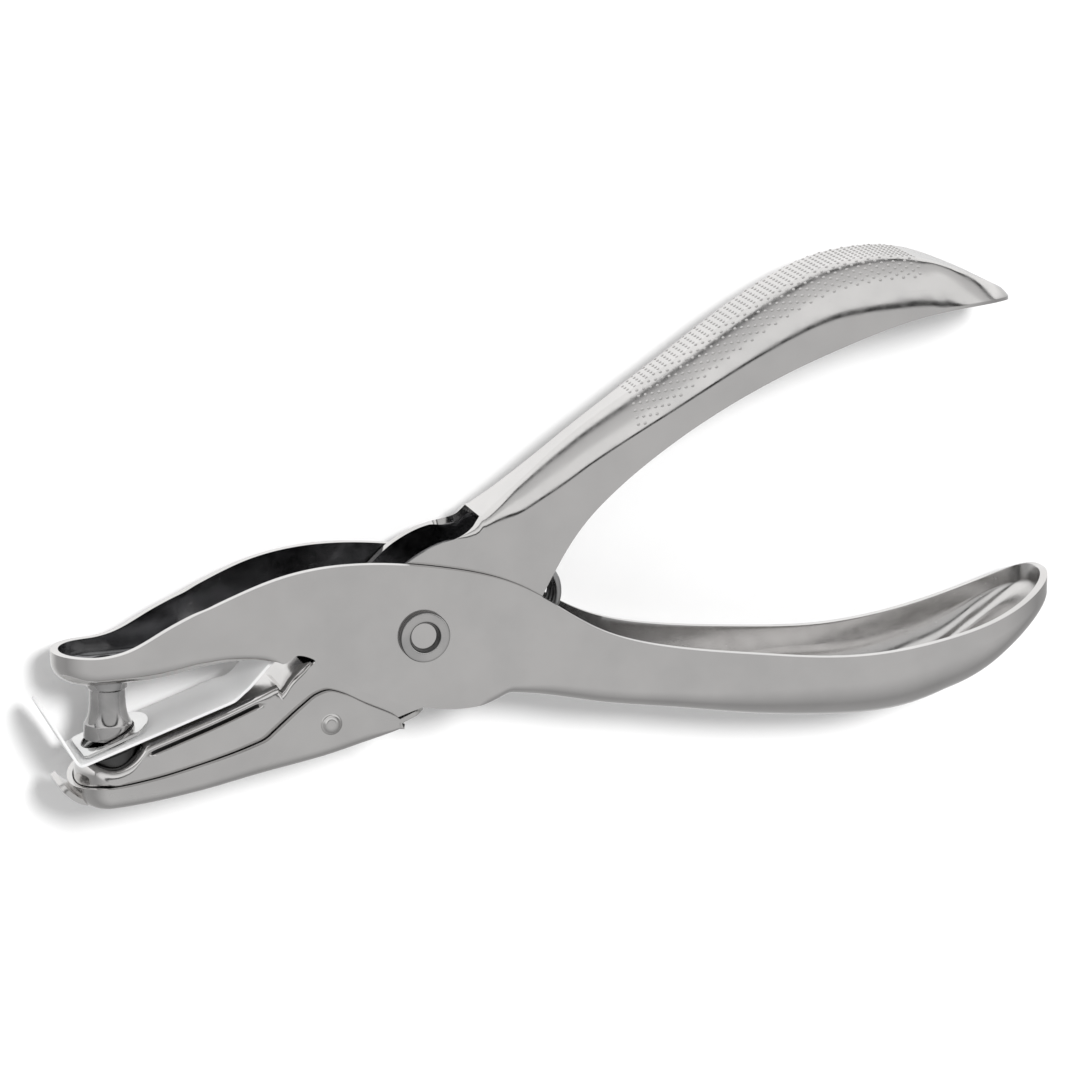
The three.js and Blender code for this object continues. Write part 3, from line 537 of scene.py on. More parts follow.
inner_cheek_edge = steady_curve(
    (-18.3, -6.3), (-17.4, -5.1), (-15, -2.9), (-10, 1.5), (-4.6, 6.7), (-1.2, 9.7),
    (2.2, 11.4), (6.2, 12.5), (7.6, 13.3), (8.4, 14.3),
)
upper_handle_web = smooth_curve(
    (8.4, 14.1), (15, 19), (21, 23.6), (27, 27.7), (35, 32.9), (42, 37.5), (49, 41.5),
    (54, 43.7), (59, 44.8), (64, 45), (69, 44.2), (74, 42.4), (78, 40.6), (81.6, 38.7),
)
inner_half_width = steady_curve(
    (-34, JAW_HALF), (-29, JAW_HALF), (-14.5, INNER_HALF), (12, INNER_HALF), (22, 5.5),
    (34, 6.8), (48, 8.3), (58, HANDLE_HALF), (72, HANDLE_HALF),
)
inner_across = steady_curve(
    (-39, 1.7), (-36, 1.4), (-22, 1.4), (-15.2, 1.4), (-14.4, 0.02), (4, 0.02), (9, 2.2),
    (14, 3.1), (20, 4.0), (30, 4.5), (48, 5.3), (56, 5.6), (62, 5.3), (68, 4.4), (74, 3.2),
    (81.6, 1.0),
)
inner_up = steady_curve(
    (-39, 1.7), (-36, 0.8), (-22, 0.8), (-19, 1.7), (4, 1.7), (9, 2.4), (14, 3.4),
    (20, 4.4), (30, 4.8), (48, 5.9), (62, 6.5), (74, 4.4), (81.6, 0.6),
)


def inner_web(x):
    """The inner lever's top: jaw, then the cheeks' edge, then the upper handle."""
    if x < JAW_STEP:
        return jaw_line(x, JAW_TOP_DROP) - valley(x)
    return inner_cheek_edge(x) if x < WEB_FRONT else upper_handle_web(x)


def inner_lever(finish):
    """Lower jaw, cheeks and upper handle in one pressing, open downwards."""
    rim = smooth_curve(
        (-48, -18.3), (-42, -17.7), (-23, -15.3), (-13.7, -13.9), (-5, -11.5), (0, -9.9),
        (6.5, -8), (12, -3.5), (16.4, 4), (19.6, 9.7), (25.1, 16.2), (33.4, 22.9), (44, 29.3),
        (54.8, 34.1), (62, 36.5), (69.4, 38.1), (77.8, 38.4), (80.5, 38.1), (81.6, 37.8),
    )
    channel = Channel(
        rim=rim,
        web=inner_web,
        across=inner_across,
        up=inner_up,
        groove=steady_curve((-36.4, 0.0), (-35.2, 0.75), (-22.2, 0.9), (-20.4, 0.0)),
        power=steady_curve((8, 1.0), (14, CORNER_POWER)),
    )

    def kept(x, z):
        if JAW_WEB_REAR < x < WEB_FRONT:
            return z > inner_half_width(x) - inner_across(x) - BARELY
        return True

    marks = (JAW_ROUND_START, -22, JAW_STEP, JAW_WEB_REAR, -14, WEB_FRONT, UPPER_ROUND_START)
    near = straight_stations(marks, inner_half_width)
    handle_end = tip_stations(UPPER_ROUND_START, UPPER_TIP, HANDLE_HALF, count=60)
    jaw_end = flipped(tip_stations(JAW_ROUND_START, JAW_TIP, JAW_HALF))
    stations = near + handle_end + flipped(reversed(near)) + jaw_end
    piece = channel_object(
        "inner_lever_pressing", stations, channel, finish, SHEET, inside=(20, 0, 0), kept=kept
    )
    cut_with(piece, jaw_cylinder("die_seat_tool", DIE_RADIUS + 0.25, -4, 6))
    soften_edges(piece, 0.3)
    return piece


def jaw_cylinder(name, radius, high, low):
    """A plug square to the jaw, from high to low under the punch's end."""
    axis = (math.sin(JAW_SLOPE), -math.cos(JAW_SLOPE), 0)
    profile = [(0.0, high), (radius, high), (radius, low), (0.0, low)]
    return turned_object(name, profile, (PUNCH_X, PUNCH_Y, 0), axis, segments=64)


# ------------------------------------------------------------------------------------------
# Turned pieces
# ------------------------------------------------------------------------------------------


def pivot_rivet(finish):
    """The rivet, its upright faces in the second material, a dark grey that paints their shade."""
    seat = OUTER_HALF + 0.15
    top = seat + 0.8
    profile = [
        (0.0, -top), (2.7, -top), (3.1, -top + 0.1), (RIVET_HEAD_RADIUS, -top + 0.35),
        (RIVET_HEAD_RADIUS, -seat), (RIVET_RADIUS, -seat), (RIVET_RADIUS, seat),
        (RIVET_HEAD_RADIUS, seat), (RIVET_HEAD_RADIUS, top - 0.3), (3.2, top - 0.1),
        (2.95, top), (2.2, top - 0.02), (2.05, top - 0.1), (1.9, top - 0.35), (1.75, top - 0.8),
        (1.45, top - 1.25), (0.75, top - 1.6), (0.45, top - 1.72), (0.0, top - 1.78),
    ]
    piece = turned_object("pivot_rivet_turned", profile, (0, 0, 0), (0, 0, 1))
    paint(piece, finish)
    # upright faces get the painted shade
    for face in piece.data.polygons:
        face.material_index = 1 if abs(face.normal.z) < 0.75 else 0
    soften_edges(piece, 0.05, segments=2, angle=35)
    return piece


def pivot_bush():
    """The spacer tube round the rivet, inside the inner cheeks."""
    reach = 4.05
    inner = RIVET_RADIUS + 0.3
    profile = [
        (inner, -reach), (BUSH_RADIUS, -reach), (BUSH_RADIUS, reach), (inner, reach),
        (inner, -reach),
    ]
    piece = turned_object("pivot_bush_turned", profile, (0, 0, 0), (0, 0, 1), segments=64)
    soften_edges(piece, 0.2)
    return piece


def punch_pin():
    """The waisted pin, its shank through the nose and riveted over above it."""
    end = PUNCH_Y
    floor_top = NOSE_FLOOR + SHEET
    cove = smooth_curve((1.9, 3.0), (2.4, 2.74), (3.2, 2.48), (4.4, 2.34), (6.3, 2.32))
    profile = [(0.0, end + 0.5), (2.2, end + 0.35), (HOLE_RADIUS, end), (3.06, end + 1.85)]
    profile += [(cove(along), end + along) for along in spaced((1.95, 6.3), 0.25)]
    profile += [
        (2.6, end + 6.6), (2.62, NOSE_FLOOR - 0.2), (1.6, NOSE_FLOOR - 0.2),
        (1.6, floor_top + 0.2), (3.0, floor_top + 0.2), (2.95, floor_top + 0.5),
        (2.6, floor_top + 0.9), (1.9, floor_top + 1.2), (1.0, floor_top + 1.36),
        (0.0, floor_top + 1.4),
    ]
    piece = turned_object("punch_pin_turned", profile, (PUNCH_X, 0, 0), (0, 1, 0), segments=128)
    soften_edges(piece, 0.05, segments=2, angle=35)
    return piece


def die_bush():
    """The hard ring in the jaw that the pin enters."""
    top = JAW_TOP_DROP + 0.1
    bottom = top + 3.2
    axis = (math.sin(JAW_SLOPE), -math.cos(JAW_SLOPE), 0)
    profile = [
        (BORE_RADIUS, top), (DIE_RADIUS, top), (DIE_RADIUS, bottom), (BORE_RADIUS, bottom),
        (BORE_RADIUS, top),
    ]
    piece = turned_object("die_bush_turned", profile, (PUNCH_X, PUNCH_Y, 0), axis)
    soften_edges(piece, 0.15)
    return piece


# ------------------------------------------------------------------------------------------
# Stripper
# ------------------------------------------------------------------------------------------


def rounded_path(points, radius, steps=6):
    """A bent line in the side view with each inner corner turned into a small curve."""
    line = [Vector(point) for point in points]
    path = [line[0]]
    for before, here, after in zip(line, line[1:], line[2:]):
        back = (before - here).normalized() * min(radius, (before - here).length * 0.45)
        on = (after - here).normalized() * min(radius, (after - here).length * 0.45)
        for i in range(steps + 1):
            t = i / steps
            path.append(here + back * (1 - t) ** 2 + on * t * t)
    path.append(line[-1])
    return path


def resampled(path, spacing):
    """The same line with points at even spacing."""
    line = np.array([tuple(point) for point in path])
    travel = np.concatenate([[0], np.cumsum(np.linalg.norm(np.diff(line, axis=0), axis=1))])
    count = int(travel[-1] / spacing)
    wanted = np.linspace(0, travel[-1], count)
    return [(np.interp(t, travel, line[:, 0]), np.interp(t, travel, line[:, 1])) for t in wanted]


def ribbon_object(name, path, half_width, thickness, spacing=0.4, columns=12):
    """A strip of sheet along a side-view line, as wide at each place as half_width(x) says."""
    rows = []
    for x, y in resampled(path, spacing):
        half = half_width(x)
        rows.append([(x, y, half * (2 * j / columns - 1)) for j in range(columns + 1)])
    piece = grid_object(name, rows)
    solid = piece.modifiers.new("sheet", "SOLIDIFY")
    solid.thickness = thickness / 1000
    solid.offset = 0
    solid.use_even_offset = True
    bake_modifiers(piece)
    return piece


def stripper_plate():
    """The sprung strip: front tab, bed on the jaw, neck up to an eye round the bush."""
    drop = STRIPPER_DROP + STRIPPER_SHEET / 2
    front = -44.6
    eye = BUSH_RADIUS + 0.3 + STRIPPER_SHEET / 2
    points = [
        (-49.2, -5.7),
        (front - 0.2, jaw_line(front, drop) + 0.3),
        (front + 0.3, jaw_line(front + 0.3, drop)),
        (-23.8, jaw_line(-23.8, drop)), (-22.6, -5.8), (-19.6, -2.6), (-17.6, -1.2),
    ]
    points += arc_points(eye, np.radians(np.linspace(112, -150, 30)))
    path = rounded_path(points, 0.7)
    half_width = steady_curve(
        (-49.2, 0.2), (-49.1, 1.3), (-48.9, 2.4), (-48.5, 3.4), (-47.8, 4.2), (-46.8, 4.7),
        (-44.8, 5.1), (-44.3, 5.4), (-25, 5.4), (-22.8, 4.3), (-18.2, 4.3), (-16, 2.5), (8, 2.5),
    )
    piece = ribbon_object("stripper_strip", path, half_width, STRIPPER_SHEET, spacing=0.25)
    cut_with(piece, jaw_cylinder("stripper_hole_tool", HOLE_RADIUS + 0.6, -3, 3))
    soften_edges(piece, 0.05, segments=2)
    return piece


def plate_mesh(rings, thickness, rounding):
    """A flat plate's mesh; its outline and its hole are rings of (x, z) in millimetres."""
    curve = bpy.data.curves.new("plate_outline", "CURVE")
    curve.dimensions = "2D"
    curve.fill_mode = "BOTH"
    curve.extrude = (thickness / 2 - rounding) / 1000
    curve.bevel_depth = rounding / 1000
    curve.bevel_resolution = 2
    curve.offset = -rounding / 1000
    for ring in rings:
        spline = curve.splines.new("POLY")
        spline.points.add(len(ring) - 1)
        spline.use_cyclic_u = True
        for point, (x, z) in zip(spline.points, ring):
            point.co = (x / 1000, -z / 1000, 0, 1)
    outline = new_object("plate_outline", curve)
    bpy.context.view_layer.update()
    graph = bpy.context.evaluated_depsgraph_get()
    mesh = bpy.data.meshes.new_from_object(outline.evaluated_get(graph))
    bpy.data.objects.remove(outline)
    weld = bmesh.new()
    weld.from_mesh(mesh)
    bmesh.ops.remove_doubles(weld, verts=weld.verts, dist=1e-6)
    weld.to_mesh(mesh)
    weld.free()
    return mesh


def stripper_pad():
    """The plate round the punch, straight at the front and round at the rear."""
    half, rear, front, thickness, corner = 4.4, 5.5, 4.2, 0.4, 0.5
    lift = math.radians(2.2)
    turn = math.asin(half / rear)
    outline = [
        (-front + corner, half), (-front, half - corner),
        (-front, -half + corner), (-front + corner, -half),
    ]
    outline += arc_points(rear, np.linspace(-turn, turn, 40))
    hole = arc_points(BORE_RADIUS, np.linspace(0, -2 * math.pi, 64, False))
    mesh = plate_mesh([outline, hole], thickness, 0.08)
    stand = Matrix.Rotation(math.radians(90), 4, "X").inverted()
    rise = Matrix.Translation((0, (thickness / 2 - 0.05) / 1000, 0))
    tilt = Matrix.Rotation(JAW_SLOPE + lift, 4, "Z")
    mesh.transform(Matrix.Translation(to_row(PUNCH_X, PUNCH_Y, 0)) @ tilt @ rise @ stand)
    mesh.shade_smooth()
    mesh.set_sharp_from_angle(angle=math.radians(40))
    return new_object("stripper_pad_plate", mesh)


# ------------------------------------------------------------------------------------------
# Chip tray
# ------------------------------------------------------------------------------------------

tray_floor = smooth_curve(
    (-46, -19.3), (-40, -19.2), (-30, -18), (-23, -16.8), (-13.7, -15.4), (-8, -14),
    (-4.2, -12.9), (1, -10.7),
)


def tray_half_width(x):
    """The tray's walls run just outside the inner lever's."""
    return inner_half_width(x) + FIT + TRAY_SHEET


def chip_tray(finish):
    """The pressed tray under the jaw, open upwards."""
    rim = steady_curve(
        (-45.2, -17.1), (-44.4, -16.8), (-43, -16.4), (-40.2, -16.25), (-35.3, -15.6), (-29, -14.2),
        (-21.5, -12.3), (-20.6, -11.95), (-19.6, -11.2), (-15.6, -8.0), (-14, -6.85), (-12.4, -6.4),
        (-10.6, -6.9), (-7.4, -8.6), (-3.8, -10.4), (-3.1, -10.9), (-2.6, -12.2),
    )
    channel = Channel(
        rim=rim,
        web=tray_floor,
        across=lambda x: 1.7,
        up=steady_curve((-45, 2.2), (-40, 1.7), (-8, 1.7), (-2.6, 0.6)),
    )
    near = straight_stations((TRAY_REAR, TRAY_ROUND_START), tray_half_width)
    front = tip_stations(
        TRAY_ROUND_START, TRAY_TIP, tray_half_width(TRAY_ROUND_START), count=48
    )
    stations = near + front + flipped(reversed(near))
    piece = channel_object(
        "chip_tray_pressing", stations, channel, finish, TRAY_SHEET,
        inside=(-20, -10, 0), closed=False,
    )
    soften_edges(piece, 0.2)
    return piece


def tray_tongue():
    """The tray's rear tongue, which hooks in behind the jaw."""
    places = spaced((TRAY_REAR - 2.2, 0.7), 0.5)
    path = [Vector((x, tray_floor(x) + TRAY_SHEET * 0.52)) for x in places]
    half_width = steady_curve((-5, 4.0), (-0.4, 4.0), (0.7, 3.2))
    piece = ribbon_object("chip_tray_tongue", path, half_width, TRAY_SHEET, spacing=0.3)
    soften_edges(piece, 0.15, segments=2)
    return piece


def tray_lip():
    """The thumb lip at the tray's front."""
    path = rounded_path([(-43.4, -18.8), (-44.6, -18.5), (-46.2, -17.2), (-46.8, -16.1)], 1.2)
    half_width = steady_curve(
        (-46.8, 0.8), (-46.7, 2.0), (-46.4, 3.0), (-45.8, 3.6), (-44.6, 4.0), (-43.4, 4.2)
    )
    piece = ribbon_object("chip_tray_lip", path, half_width, TRAY_SHEET, spacing=0.2)
    soften_edges(piece, 0.2, segments=3)
    return piece


def tray_dimple(side):
    """A pressed snap dimple on the tray's wall."""
    profile = [
        (1.45, -0.3), (1.4, 0.0), (1.22, 0.05), (1.08, 0.2), (0.9, 0.42), (0.65, 0.58),
        (0.35, 0.66), (0.0, 0.68),
    ]
    name = "chip_tray_dimple_near" if side > 0 else "chip_tray_dimple_far"
    place = (DIMPLE_X, DIMPLE_Y, side * tray_half_width(DIMPLE_X))
    piece = turned_object(name, profile, place, (0, 0, side), segments=48)
    piece.data.shade_smooth()
    return piece


# ------------------------------------------------------------------------------------------
# Return spring
# ------------------------------------------------------------------------------------------


def return_spring():
    """A coil between the handles with a straight leg along each."""
    centre_x, centre_y, radius, pitch = 15.2, 3.2, 4.25, 1.3
    start, sweep = math.radians(230), math.radians(1160)
    lower_leg, upper_leg = 15.0, 18.0

    def coil(turned):
        angle = start - turned
        z = (turned - sweep / 2) / (2 * math.pi) * pitch
        return Vector((centre_x + radius * math.cos(angle), centre_y + radius * math.sin(angle), z))

    def heading(turned):
        angle = start - turned
        return Vector((math.sin(angle), -math.cos(angle), 0))

    points = [coil(0) - heading(0) * (lower_leg - s) for s in np.arange(0, lower_leg, 0.5)]
    points += [coil(turned) for turned in np.arange(0, sweep, math.radians(6))]
    points += [coil(sweep) + heading(sweep) * s for s in np.arange(0, upper_leg, 0.5)]
    return tube_object("return_spring_wire", points, 0.55)


# ------------------------------------------------------------------------------------------
# Knurl on the upper handle
# ------------------------------------------------------------------------------------------


def upper_surface(x, arc):
    """Point and normal of the upper handle's outside; arc runs across it from its crown."""
    turns = np.linspace(0, math.pi / 2, 24)
    over = np.sin(turns) ** CORNER_POWER
    down = 1 - np.maximum(np.cos(turns), 0) ** CORNER_POWER

    def point(px, travel):
        across = inner_across(px)
        flat = inner_half_width(px) - across
        z = np.concatenate([[0], flat + across * over])
        drop = np.concatenate([[0], inner_up(px) * down])
        along = np.concatenate([[0], np.cumsum(np.hypot(np.diff(z), np.diff(drop)))])
        reach = math.copysign(np.interp(abs(travel), along, z), travel)
        return Vector((px, upper_handle_web(px) - np.interp(abs(travel), along, drop), reach))

    here = point(x, arc)
    near = 0.05
    lengthwise = point(x + near, arc) - point(x - near, arc)
    crosswise = point(x, arc + near) - point(x, arc - near)
    normal = crosswise.cross(lengthwise).normalized()
    return here, normal if normal.y > 0 else -normal


def handle_knurl():
    """Rows of small raised points that give the palm its grip."""
    front, rear, reach, pitch = 29, 67, 7.6, 1.0
    count = int(reach / pitch)
    net = bmesh.new()
    for row, x in enumerate(spaced((front, rear), pitch * 0.8)):
        shift = pitch / 2 if row % 2 else 0.0
        for k in range(-count, count + 1):
            here, normal = upper_surface(x, k * pitch + shift)
            add_point(net, here, normal, radius=0.25, height=0.13)
    knurl = net_object("upper_handle_knurl", net)
    knurl.data.shade_smooth()
    return knurl


def add_point(net, place, normal, radius, height):
    """One low dome standing on a surface, its foot a little inside it."""
    sides, foot = 8, -0.06
    level = Vector((0, 0, 1)) if abs(normal.z) < 0.9 else Vector((1, 0, 0))
    side = normal.cross(level).normalized()
    other = normal.cross(side)
    rings = [
        add_ring(net, place + normal * lift, side, other, radius * share, sides)
        for share, lift in ((1.0, foot), (0.8, height * 0.45), (0.42, height * 0.88))
    ]
    add_skin(net, rings)
    net.faces.new(rings[-1])
    net.faces.new(reversed(rings[0]))


# ------------------------------------------------------------------------------------------
# Materials
# ------------------------------------------------------------------------------------------


def link(tree, source, output, target, socket):
    tree.links.new(source.outputs[output], target.inputs[socket])


def noise(tree, coordinates, size_mm, detail=4.0, stretch=(1, 1, 1)):
    """Noise whose features are about size_mm across."""
    mapping = tree.nodes.new("ShaderNodeMapping")
    mapping.inputs["Scale"].default_value = stretch
    texture = tree.nodes.new("ShaderNodeTexNoise")
    texture.inputs["Scale"].default_value = 1000 / size_mm
    texture.inputs["Detail"].default_value = detail
    link(tree, coordinates, "Object", mapping, "Vector")
    link(tree, mapping, "Vector", texture, "Vector")
    return texture


def ramp(tree, source, output, low, high, low_value, high_value):
    """Maps a value from low..high to low_value..high_value."""
    scale = tree.nodes.new("ShaderNodeMapRange")
    scale.inputs["From Min"].default_value = low
    scale.inputs["From Max"].default_value = high
    scale.inputs["To Min"].default_value = low_value
    scale.inputs["To Max"].default_value = high_value
    link(tree, source, output, scale, "Value")
    return scale


def colour_mix(tree, blend="MIX"):
    mix = tree.nodes.new("ShaderNodeMix")
    mix.data_type = "RGBA"
    mix.blend_type = blend
    return mix


def grey(tone):
    return (tone, tone, tone)


def metal(name, light, dark, roughness, bump=0.3, stretch=(1, 1, 1), open_end_light=None):
    """Plated or turned metal: mottled colour, painted shade in hollows, painted light along an open
    end if given, uneven gloss, fine grain and hair scratches.
    """
    material = bpy.data.materials.new(name)
    material.use_nodes = True
    tree = material.node_tree
    shader = tree.nodes["Principled BSDF"]
    shader.inputs["Metallic"].default_value = 1.0
    coordinates = tree.nodes.new("ShaderNodeTexCoord")
    mottle(tree, coordinates, shader, light, dark)
    # painted light: the colour lifts to a brighter one towards an open end
    if open_end_light:
        paint_light_along(tree, coordinates, shader, *open_end_light)
    # painted shade where the surface is hollow
    paint_crease_shade(tree, shader)
    vary_gloss(tree, coordinates, shader, roughness, stretch)
    roughen(tree, coordinates, shader, bump, stretch)
    return material


def mottle(tree, coordinates, shader, light, dark):
    """Soft patches between a light and a dark colour."""
    patches = noise(tree, coordinates, 7.0, detail=5)
    share = ramp(tree, patches, "Fac", 0.35, 0.68, 0.0, 1.0)
    colour = colour_mix(tree)
    colour.inputs["A"].default_value = (*light, 1)
    colour.inputs["B"].default_value = (*dark, 1)
    link(tree, share, "Result", colour, "Factor")
    link(tree, colour, "Result", shader, "Base Color")


def vary_gloss(tree, coordinates, shader, roughness, stretch):
    """Hazy patches of gloss, with fine hair scratches added."""
    spread, scratch = 0.05, 0.075
    haze = noise(tree, coordinates, 2.2, detail=6, stretch=stretch)
    rough = ramp(tree, haze, "Fac", 0.3, 0.7, roughness - spread, roughness + spread)
    hairs = noise(tree, coordinates, 1.6, detail=2, stretch=(0.12, 6.0, 6.0))
    hair_share = ramp(tree, hairs, "Fac", 0.66, 0.74, 0.0, scratch)
    total = tree.nodes.new("ShaderNodeMath")
    total.operation = "ADD"
    link(tree, rough, "Result", total, 0)
    link(tree, hair_share, "Result", total, 1)
    link(tree, total, "Value", shader, "Roughness")


def roughen(tree, coordinates, shader, strength, stretch):
    """A fine grain over long shallow waves."""
    wave_height, grain_share = 0.00006, 0.1
    grain = noise(tree, coordinates, 0.35, detail=3, stretch=stretch)
    waves = noise(tree, coordinates, 9.0, detail=1)
    height = tree.nodes.new("ShaderNodeMath")
    height.operation = "MULTIPLY_ADD"
    height.inputs[1].default_value = grain_share
    link(tree, grain, "Fac", height, 0)
    link(tree, waves, "Fac", height, 2)
    relief = tree.nodes.new("ShaderNodeBump")
    relief.inputs["Strength"].default_value = strength
    relief.inputs["Distance"].default_value = wave_height
    link(tree, height, "Value", relief, "Height")
    link(tree, relief, "Normal", shader, "Normal")


def paint_crease_shade(tree, shader):
    """Paints shade into the base colour where the surface is hollow."""
    source = shader.inputs["Base Color"].links[0].from_socket
    hollow, flat, darkest = 0.42, 0.485, 0.12
    geometry = tree.nodes.new("ShaderNodeNewGeometry")
    share = ramp(tree, geometry, "Pointiness", hollow, flat, darkest, 1.0)
    product = colour_mix(tree, "MULTIPLY")
    product.inputs["Factor"].default_value = 1.0
    tree.links.new(source, product.inputs["A"])
    link(tree, share, "Result", product, "B")
    link(tree, product, "Result", shader, "Base Color")


def paint_light_along(tree, coordinates, shader, start, end, bright):
    """Paints light into the base colour: it gives way to a brighter one from one X to another, in
    millimetres.
    """
    source = shader.inputs["Base Color"].links[0].from_socket
    split = tree.nodes.new("ShaderNodeSeparateXYZ")
    link(tree, coordinates, "Object", split, "Vector")
    low, high = to_row(start, 0, 0).x, to_row(end, 0, 0).x
    share = ramp(tree, split, "X", low, high, 0.0, 1.0)
    mix = colour_mix(tree)
    mix.inputs["B"].default_value = (*bright, 1)
    link(tree, share, "Result", mix, "Factor")
    tree.links.new(source, mix.inputs["A"])
    link(tree, mix, "Result", shader, "Base Color")


def floor_material():
    """A pale matt floor with a faint grain."""
    material = bpy.data.materials.new("pale_floor")
    material.use_nodes = True
    tree = material.node_tree
    shader = tree.nodes["Principled BSDF"]
    coordinates = tree.nodes.new("ShaderNodeTexCoord")
    grain = noise(tree, coordinates, 3.0)
    tone = ramp(tree, grain, "Fac", 0.3, 0.7, 0.955, 0.965)
    link(tree, tone, "Result", shader, "Base Color")
    shader.inputs["Emission Color"].default_value = (1, 1, 1, 1)
    shader.inputs["Emission Strength"].default_value = 0.04
    shader.inputs["Roughness"].default_value = 0.9
    shader.inputs["Specular IOR Level"].default_value = 0.1
    return material


# ------------------------------------------------------------------------------------------
# Studio
# ------------------------------------------------------------------------------------------

CAMERA_TURN = math.radians(17.5)
CAMERA_RISE = math.radians(14.5)
CAMERA_DISTANCE = 600.0
CAMERA_TARGET = (14.87, 11.94, 8.45)
FOCAL_PIXELS, IMAGE_PIXELS, SENSOR = 4720, 1080, 36.0
SUN_STRENGTH = 2.1
SUN_WIDTH = math.radians(13)
SUN_FROM = Vector((0.12, 0.4, 0.91))
SKY_STRENGTH = 0.83
# The sky's tones from straight down (-1) to straight up (1): bands on one side, plain on the other.
LIT_SIDE = [
    (-1.0, 1.33), (-0.02, 1.33), (0.0, 0.08), (0.06, 0.08), (0.12, 0.75), (0.3, 0.85),
    (0.36, 1.15), (0.62, 1.15), (0.66, 0.04), (0.73, 0.04), (0.79, 0.73), (1.0, 0.73),
]
PLAIN_SIDE = [(-1.0, 1.1), (-0.6, 0.5), (0.0, 0.42), (0.8, 0.73), (1.0, 0.73)]


def add_camera():
    """The camera looks down at the near cheek, a little from the nose and from above."""
    turn_s, turn_c = math.sin(CAMERA_TURN), math.cos(CAMERA_TURN)
    rise_s, rise_c = math.sin(CAMERA_RISE), math.cos(CAMERA_RISE)
    back = Vector((-turn_s * rise_c, rise_s, turn_c * rise_c))
    right = Vector((turn_c, 0, turn_s))
    up = back.cross(right)
    data = bpy.data.cameras.new("camera")
    data.sensor_width = SENSOR
    data.lens = FOCAL_PIXELS / IMAGE_PIXELS * SENSOR
    data.clip_start = 0.01
    camera = new_object("camera", data)
    place = to_row(*CAMERA_TARGET) + back * CAMERA_DISTANCE / 1000
    axes = Matrix((right, up, back)).transposed()
    camera.matrix_world = Matrix.Translation(place) @ axes.to_4x4()
    bpy.context.scene.camera = camera


def add_floor():
    """A wide plain floor that the metal doesn't mirror."""
    bpy.ops.mesh.primitive_plane_add(size=6, location=(0, 0, 0))
    floor = bpy.context.object
    floor.name = "studio_floor"
    floor.data.materials.append(floor_material())
    floor.visible_glossy = False


def add_light():
    """One soft sun, not mirrored in the metal."""
    sun_data = bpy.data.lights.new("key_sun", "SUN")
    sun_data.energy = SUN_STRENGTH
    sun_data.angle = SUN_WIDTH
    sun = new_object("key_sun", sun_data)
    sun.visible_glossy = False
    sun.rotation_euler = SUN_FROM.to_track_quat("Z", "Y").to_euler()


def sky_tones(tree, height, stops):
    """Greys for a sky from (height, tone) stops, height running from -1 to 1."""
    tones = tree.nodes.new("ShaderNodeValToRGB")
    while len(tones.color_ramp.elements) < len(stops):
        tones.color_ramp.elements.new(0.5)
    for element, (level, tone) in zip(tones.color_ramp.elements, stops):
        element.position = (level + 1) / 2
        element.color = (*grey(tone), 1)
    link(tree, height, "Result", tones, "Fac")
    return tones


def add_world():
    """A grey sky with bright and dark bands of studio light above the tool's back only."""
    world = bpy.data.worlds.new("studio")
    world.use_nodes = True
    tree = world.node_tree
    coordinates = tree.nodes.new("ShaderNodeTexCoord")
    split = tree.nodes.new("ShaderNodeSeparateXYZ")
    link(tree, coordinates, "Generated", split, "Vector")
    height = ramp(tree, split, "Z", -1.0, 1.0, 0.0, 1.0)
    side = ramp(tree, split, "Y", -0.05, 0.3, 0.0, 1.0)
    sky = colour_mix(tree)
    link(tree, side, "Result", sky, "Factor")
    link(tree, sky_tones(tree, height, PLAIN_SIDE), "Color", sky, "A")
    link(tree, sky_tones(tree, height, LIT_SIDE), "Color", sky, "B")
    link(tree, sky, "Result", tree.nodes["Background"], "Color")
    tree.nodes["Background"].inputs["Strength"].default_value = SKY_STRENGTH
    bpy.context.scene.world = world
    bpy.context.scene.view_settings.view_transform = "Standard"


# ------------------------------------------------------------------------------------------
# Assembly
# ------------------------------------------------------------------------------------------


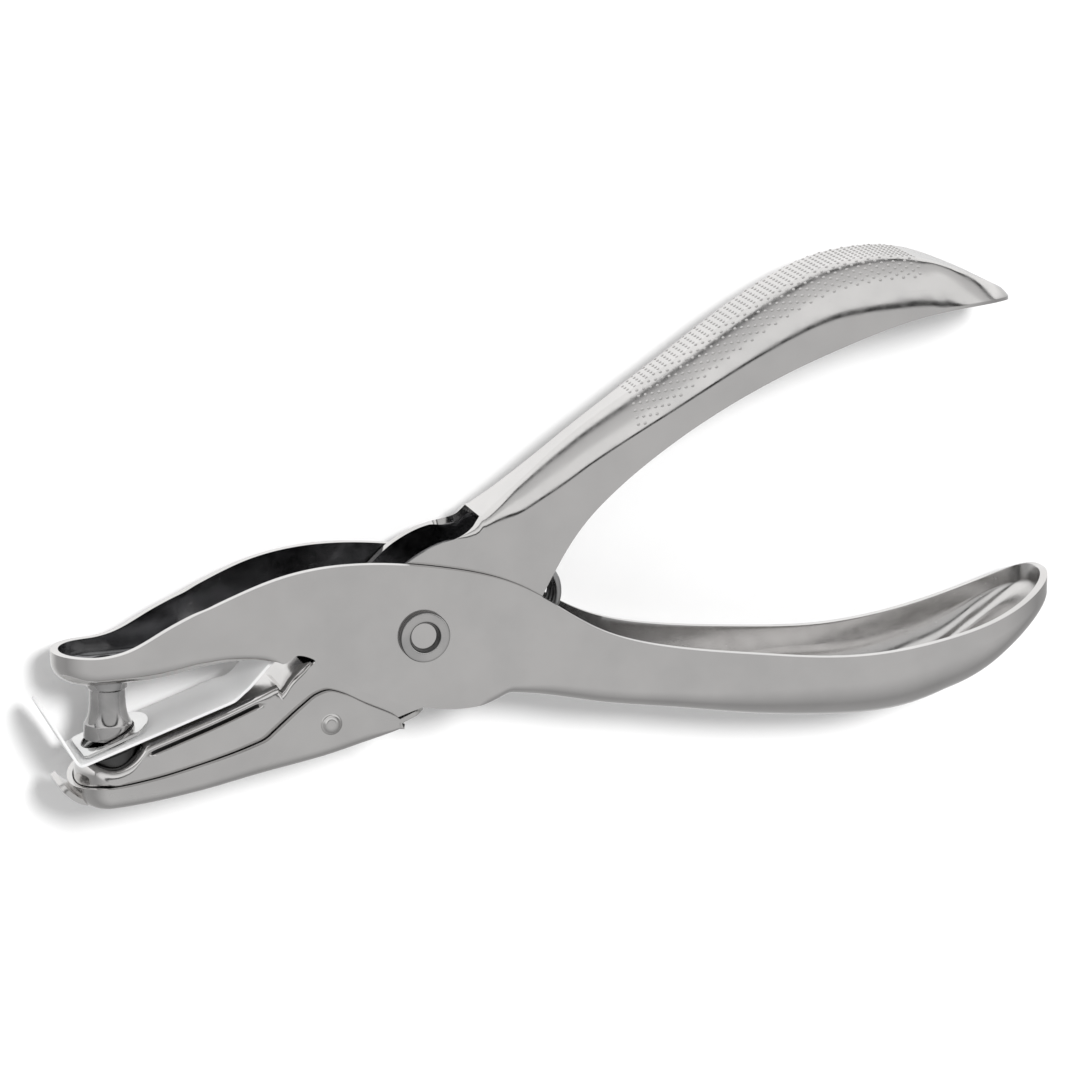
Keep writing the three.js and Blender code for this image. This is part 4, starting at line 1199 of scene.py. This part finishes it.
def put(piece, body, stands_for=None, material=None):
    """Paints a finished piece if given a material, hangs it on its body and hides the CAD node it
    stands for.
    """
    if material:
        paint(piece, [material])
    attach(piece, body)
    if stands_for:
        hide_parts(stands_for)


def build():
    """Makes the materials and every piece, and hangs each piece but the return spring on its body.
    """
    plated = metal("nickel_levers", (0.70, 0.687, 0.678), (0.65, 0.64, 0.632), 0.14)
    # The channels' insides: a darker nickel that paints their shade, with painted light lifting it
    # towards the handles' open end.
    handle_inside_lit = (0.67, 0.66, 0.652)
    inside = metal(
        "nickel_inside_shade", (0.42, 0.42, 0.43), (0.18, 0.18, 0.185), 0.2,
        bump=0.5, open_end_light=(12, 45, handle_inside_lit),
    )
    # a dark grey that paints the shade in the jaw wall's groove
    groove = metal("nickel_groove_shade", grey(0.26), grey(0.14), 0.3)
    tray_plate = metal("nickel_tray", (0.68, 0.67, 0.66), (0.63, 0.62, 0.612), 0.2)
    bright = metal("nickel_strip", (0.76, 0.76, 0.75), grey(0.66), 0.16)
    turned = metal(
        "turned_steel", (0.55, 0.54, 0.535), grey(0.34), 0.12, stretch=(5, 0.4, 5)
    )
    # near-black: paints the shade in the die's recess under the strip
    die_steel_shade = metal("die_steel_shade", grey(0.11), grey(0.06), 0.3)
    rivet = metal("rivet_steel", (0.60, 0.59, 0.583), grey(0.42), 0.18, bump=0.8)
    # a dark grey that paints the shade on the rivet's upright faces
    rivet_side_shade = metal("rivet_side_shade", grey(0.18), grey(0.11), 0.3, bump=0.8)
    wire = metal("spring_wire", grey(0.50), grey(0.36), 0.3)

    put(outer_lever([plated, inside]), "punch_lever", "outer_lever")
    put(inner_lever([plated, inside, groove]), "jaw_lever", "inner_lever")
    put(pivot_rivet([rivet, rivet_side_shade]), "punch_lever", "pivot_rivet")
    put(pivot_bush(), "jaw_lever", "pivot_bush", turned)
    put(punch_pin(), "punch_lever", "punch_pin", turned)
    put(die_bush(), "jaw_lever", "die_bush", die_steel_shade)
    put(stripper_plate(), "jaw_lever", "stripper_plate", bright)
    put(stripper_pad(), "jaw_lever", "stripper_pad", bright)
    put(chip_tray([tray_plate, inside]), "tray", "chip_tray")
    for extra in (tray_tongue(), tray_lip(), tray_dimple(1), tray_dimple(-1)):
        put(extra, "tray", material=tray_plate)
    put(handle_knurl(), "jaw_lever", material=plated)

    spring = return_spring()
    paint(spring, [wire])
    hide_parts("return_spring")
    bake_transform(spring)


build()
add_camera()
add_floor()
add_light()
add_world()
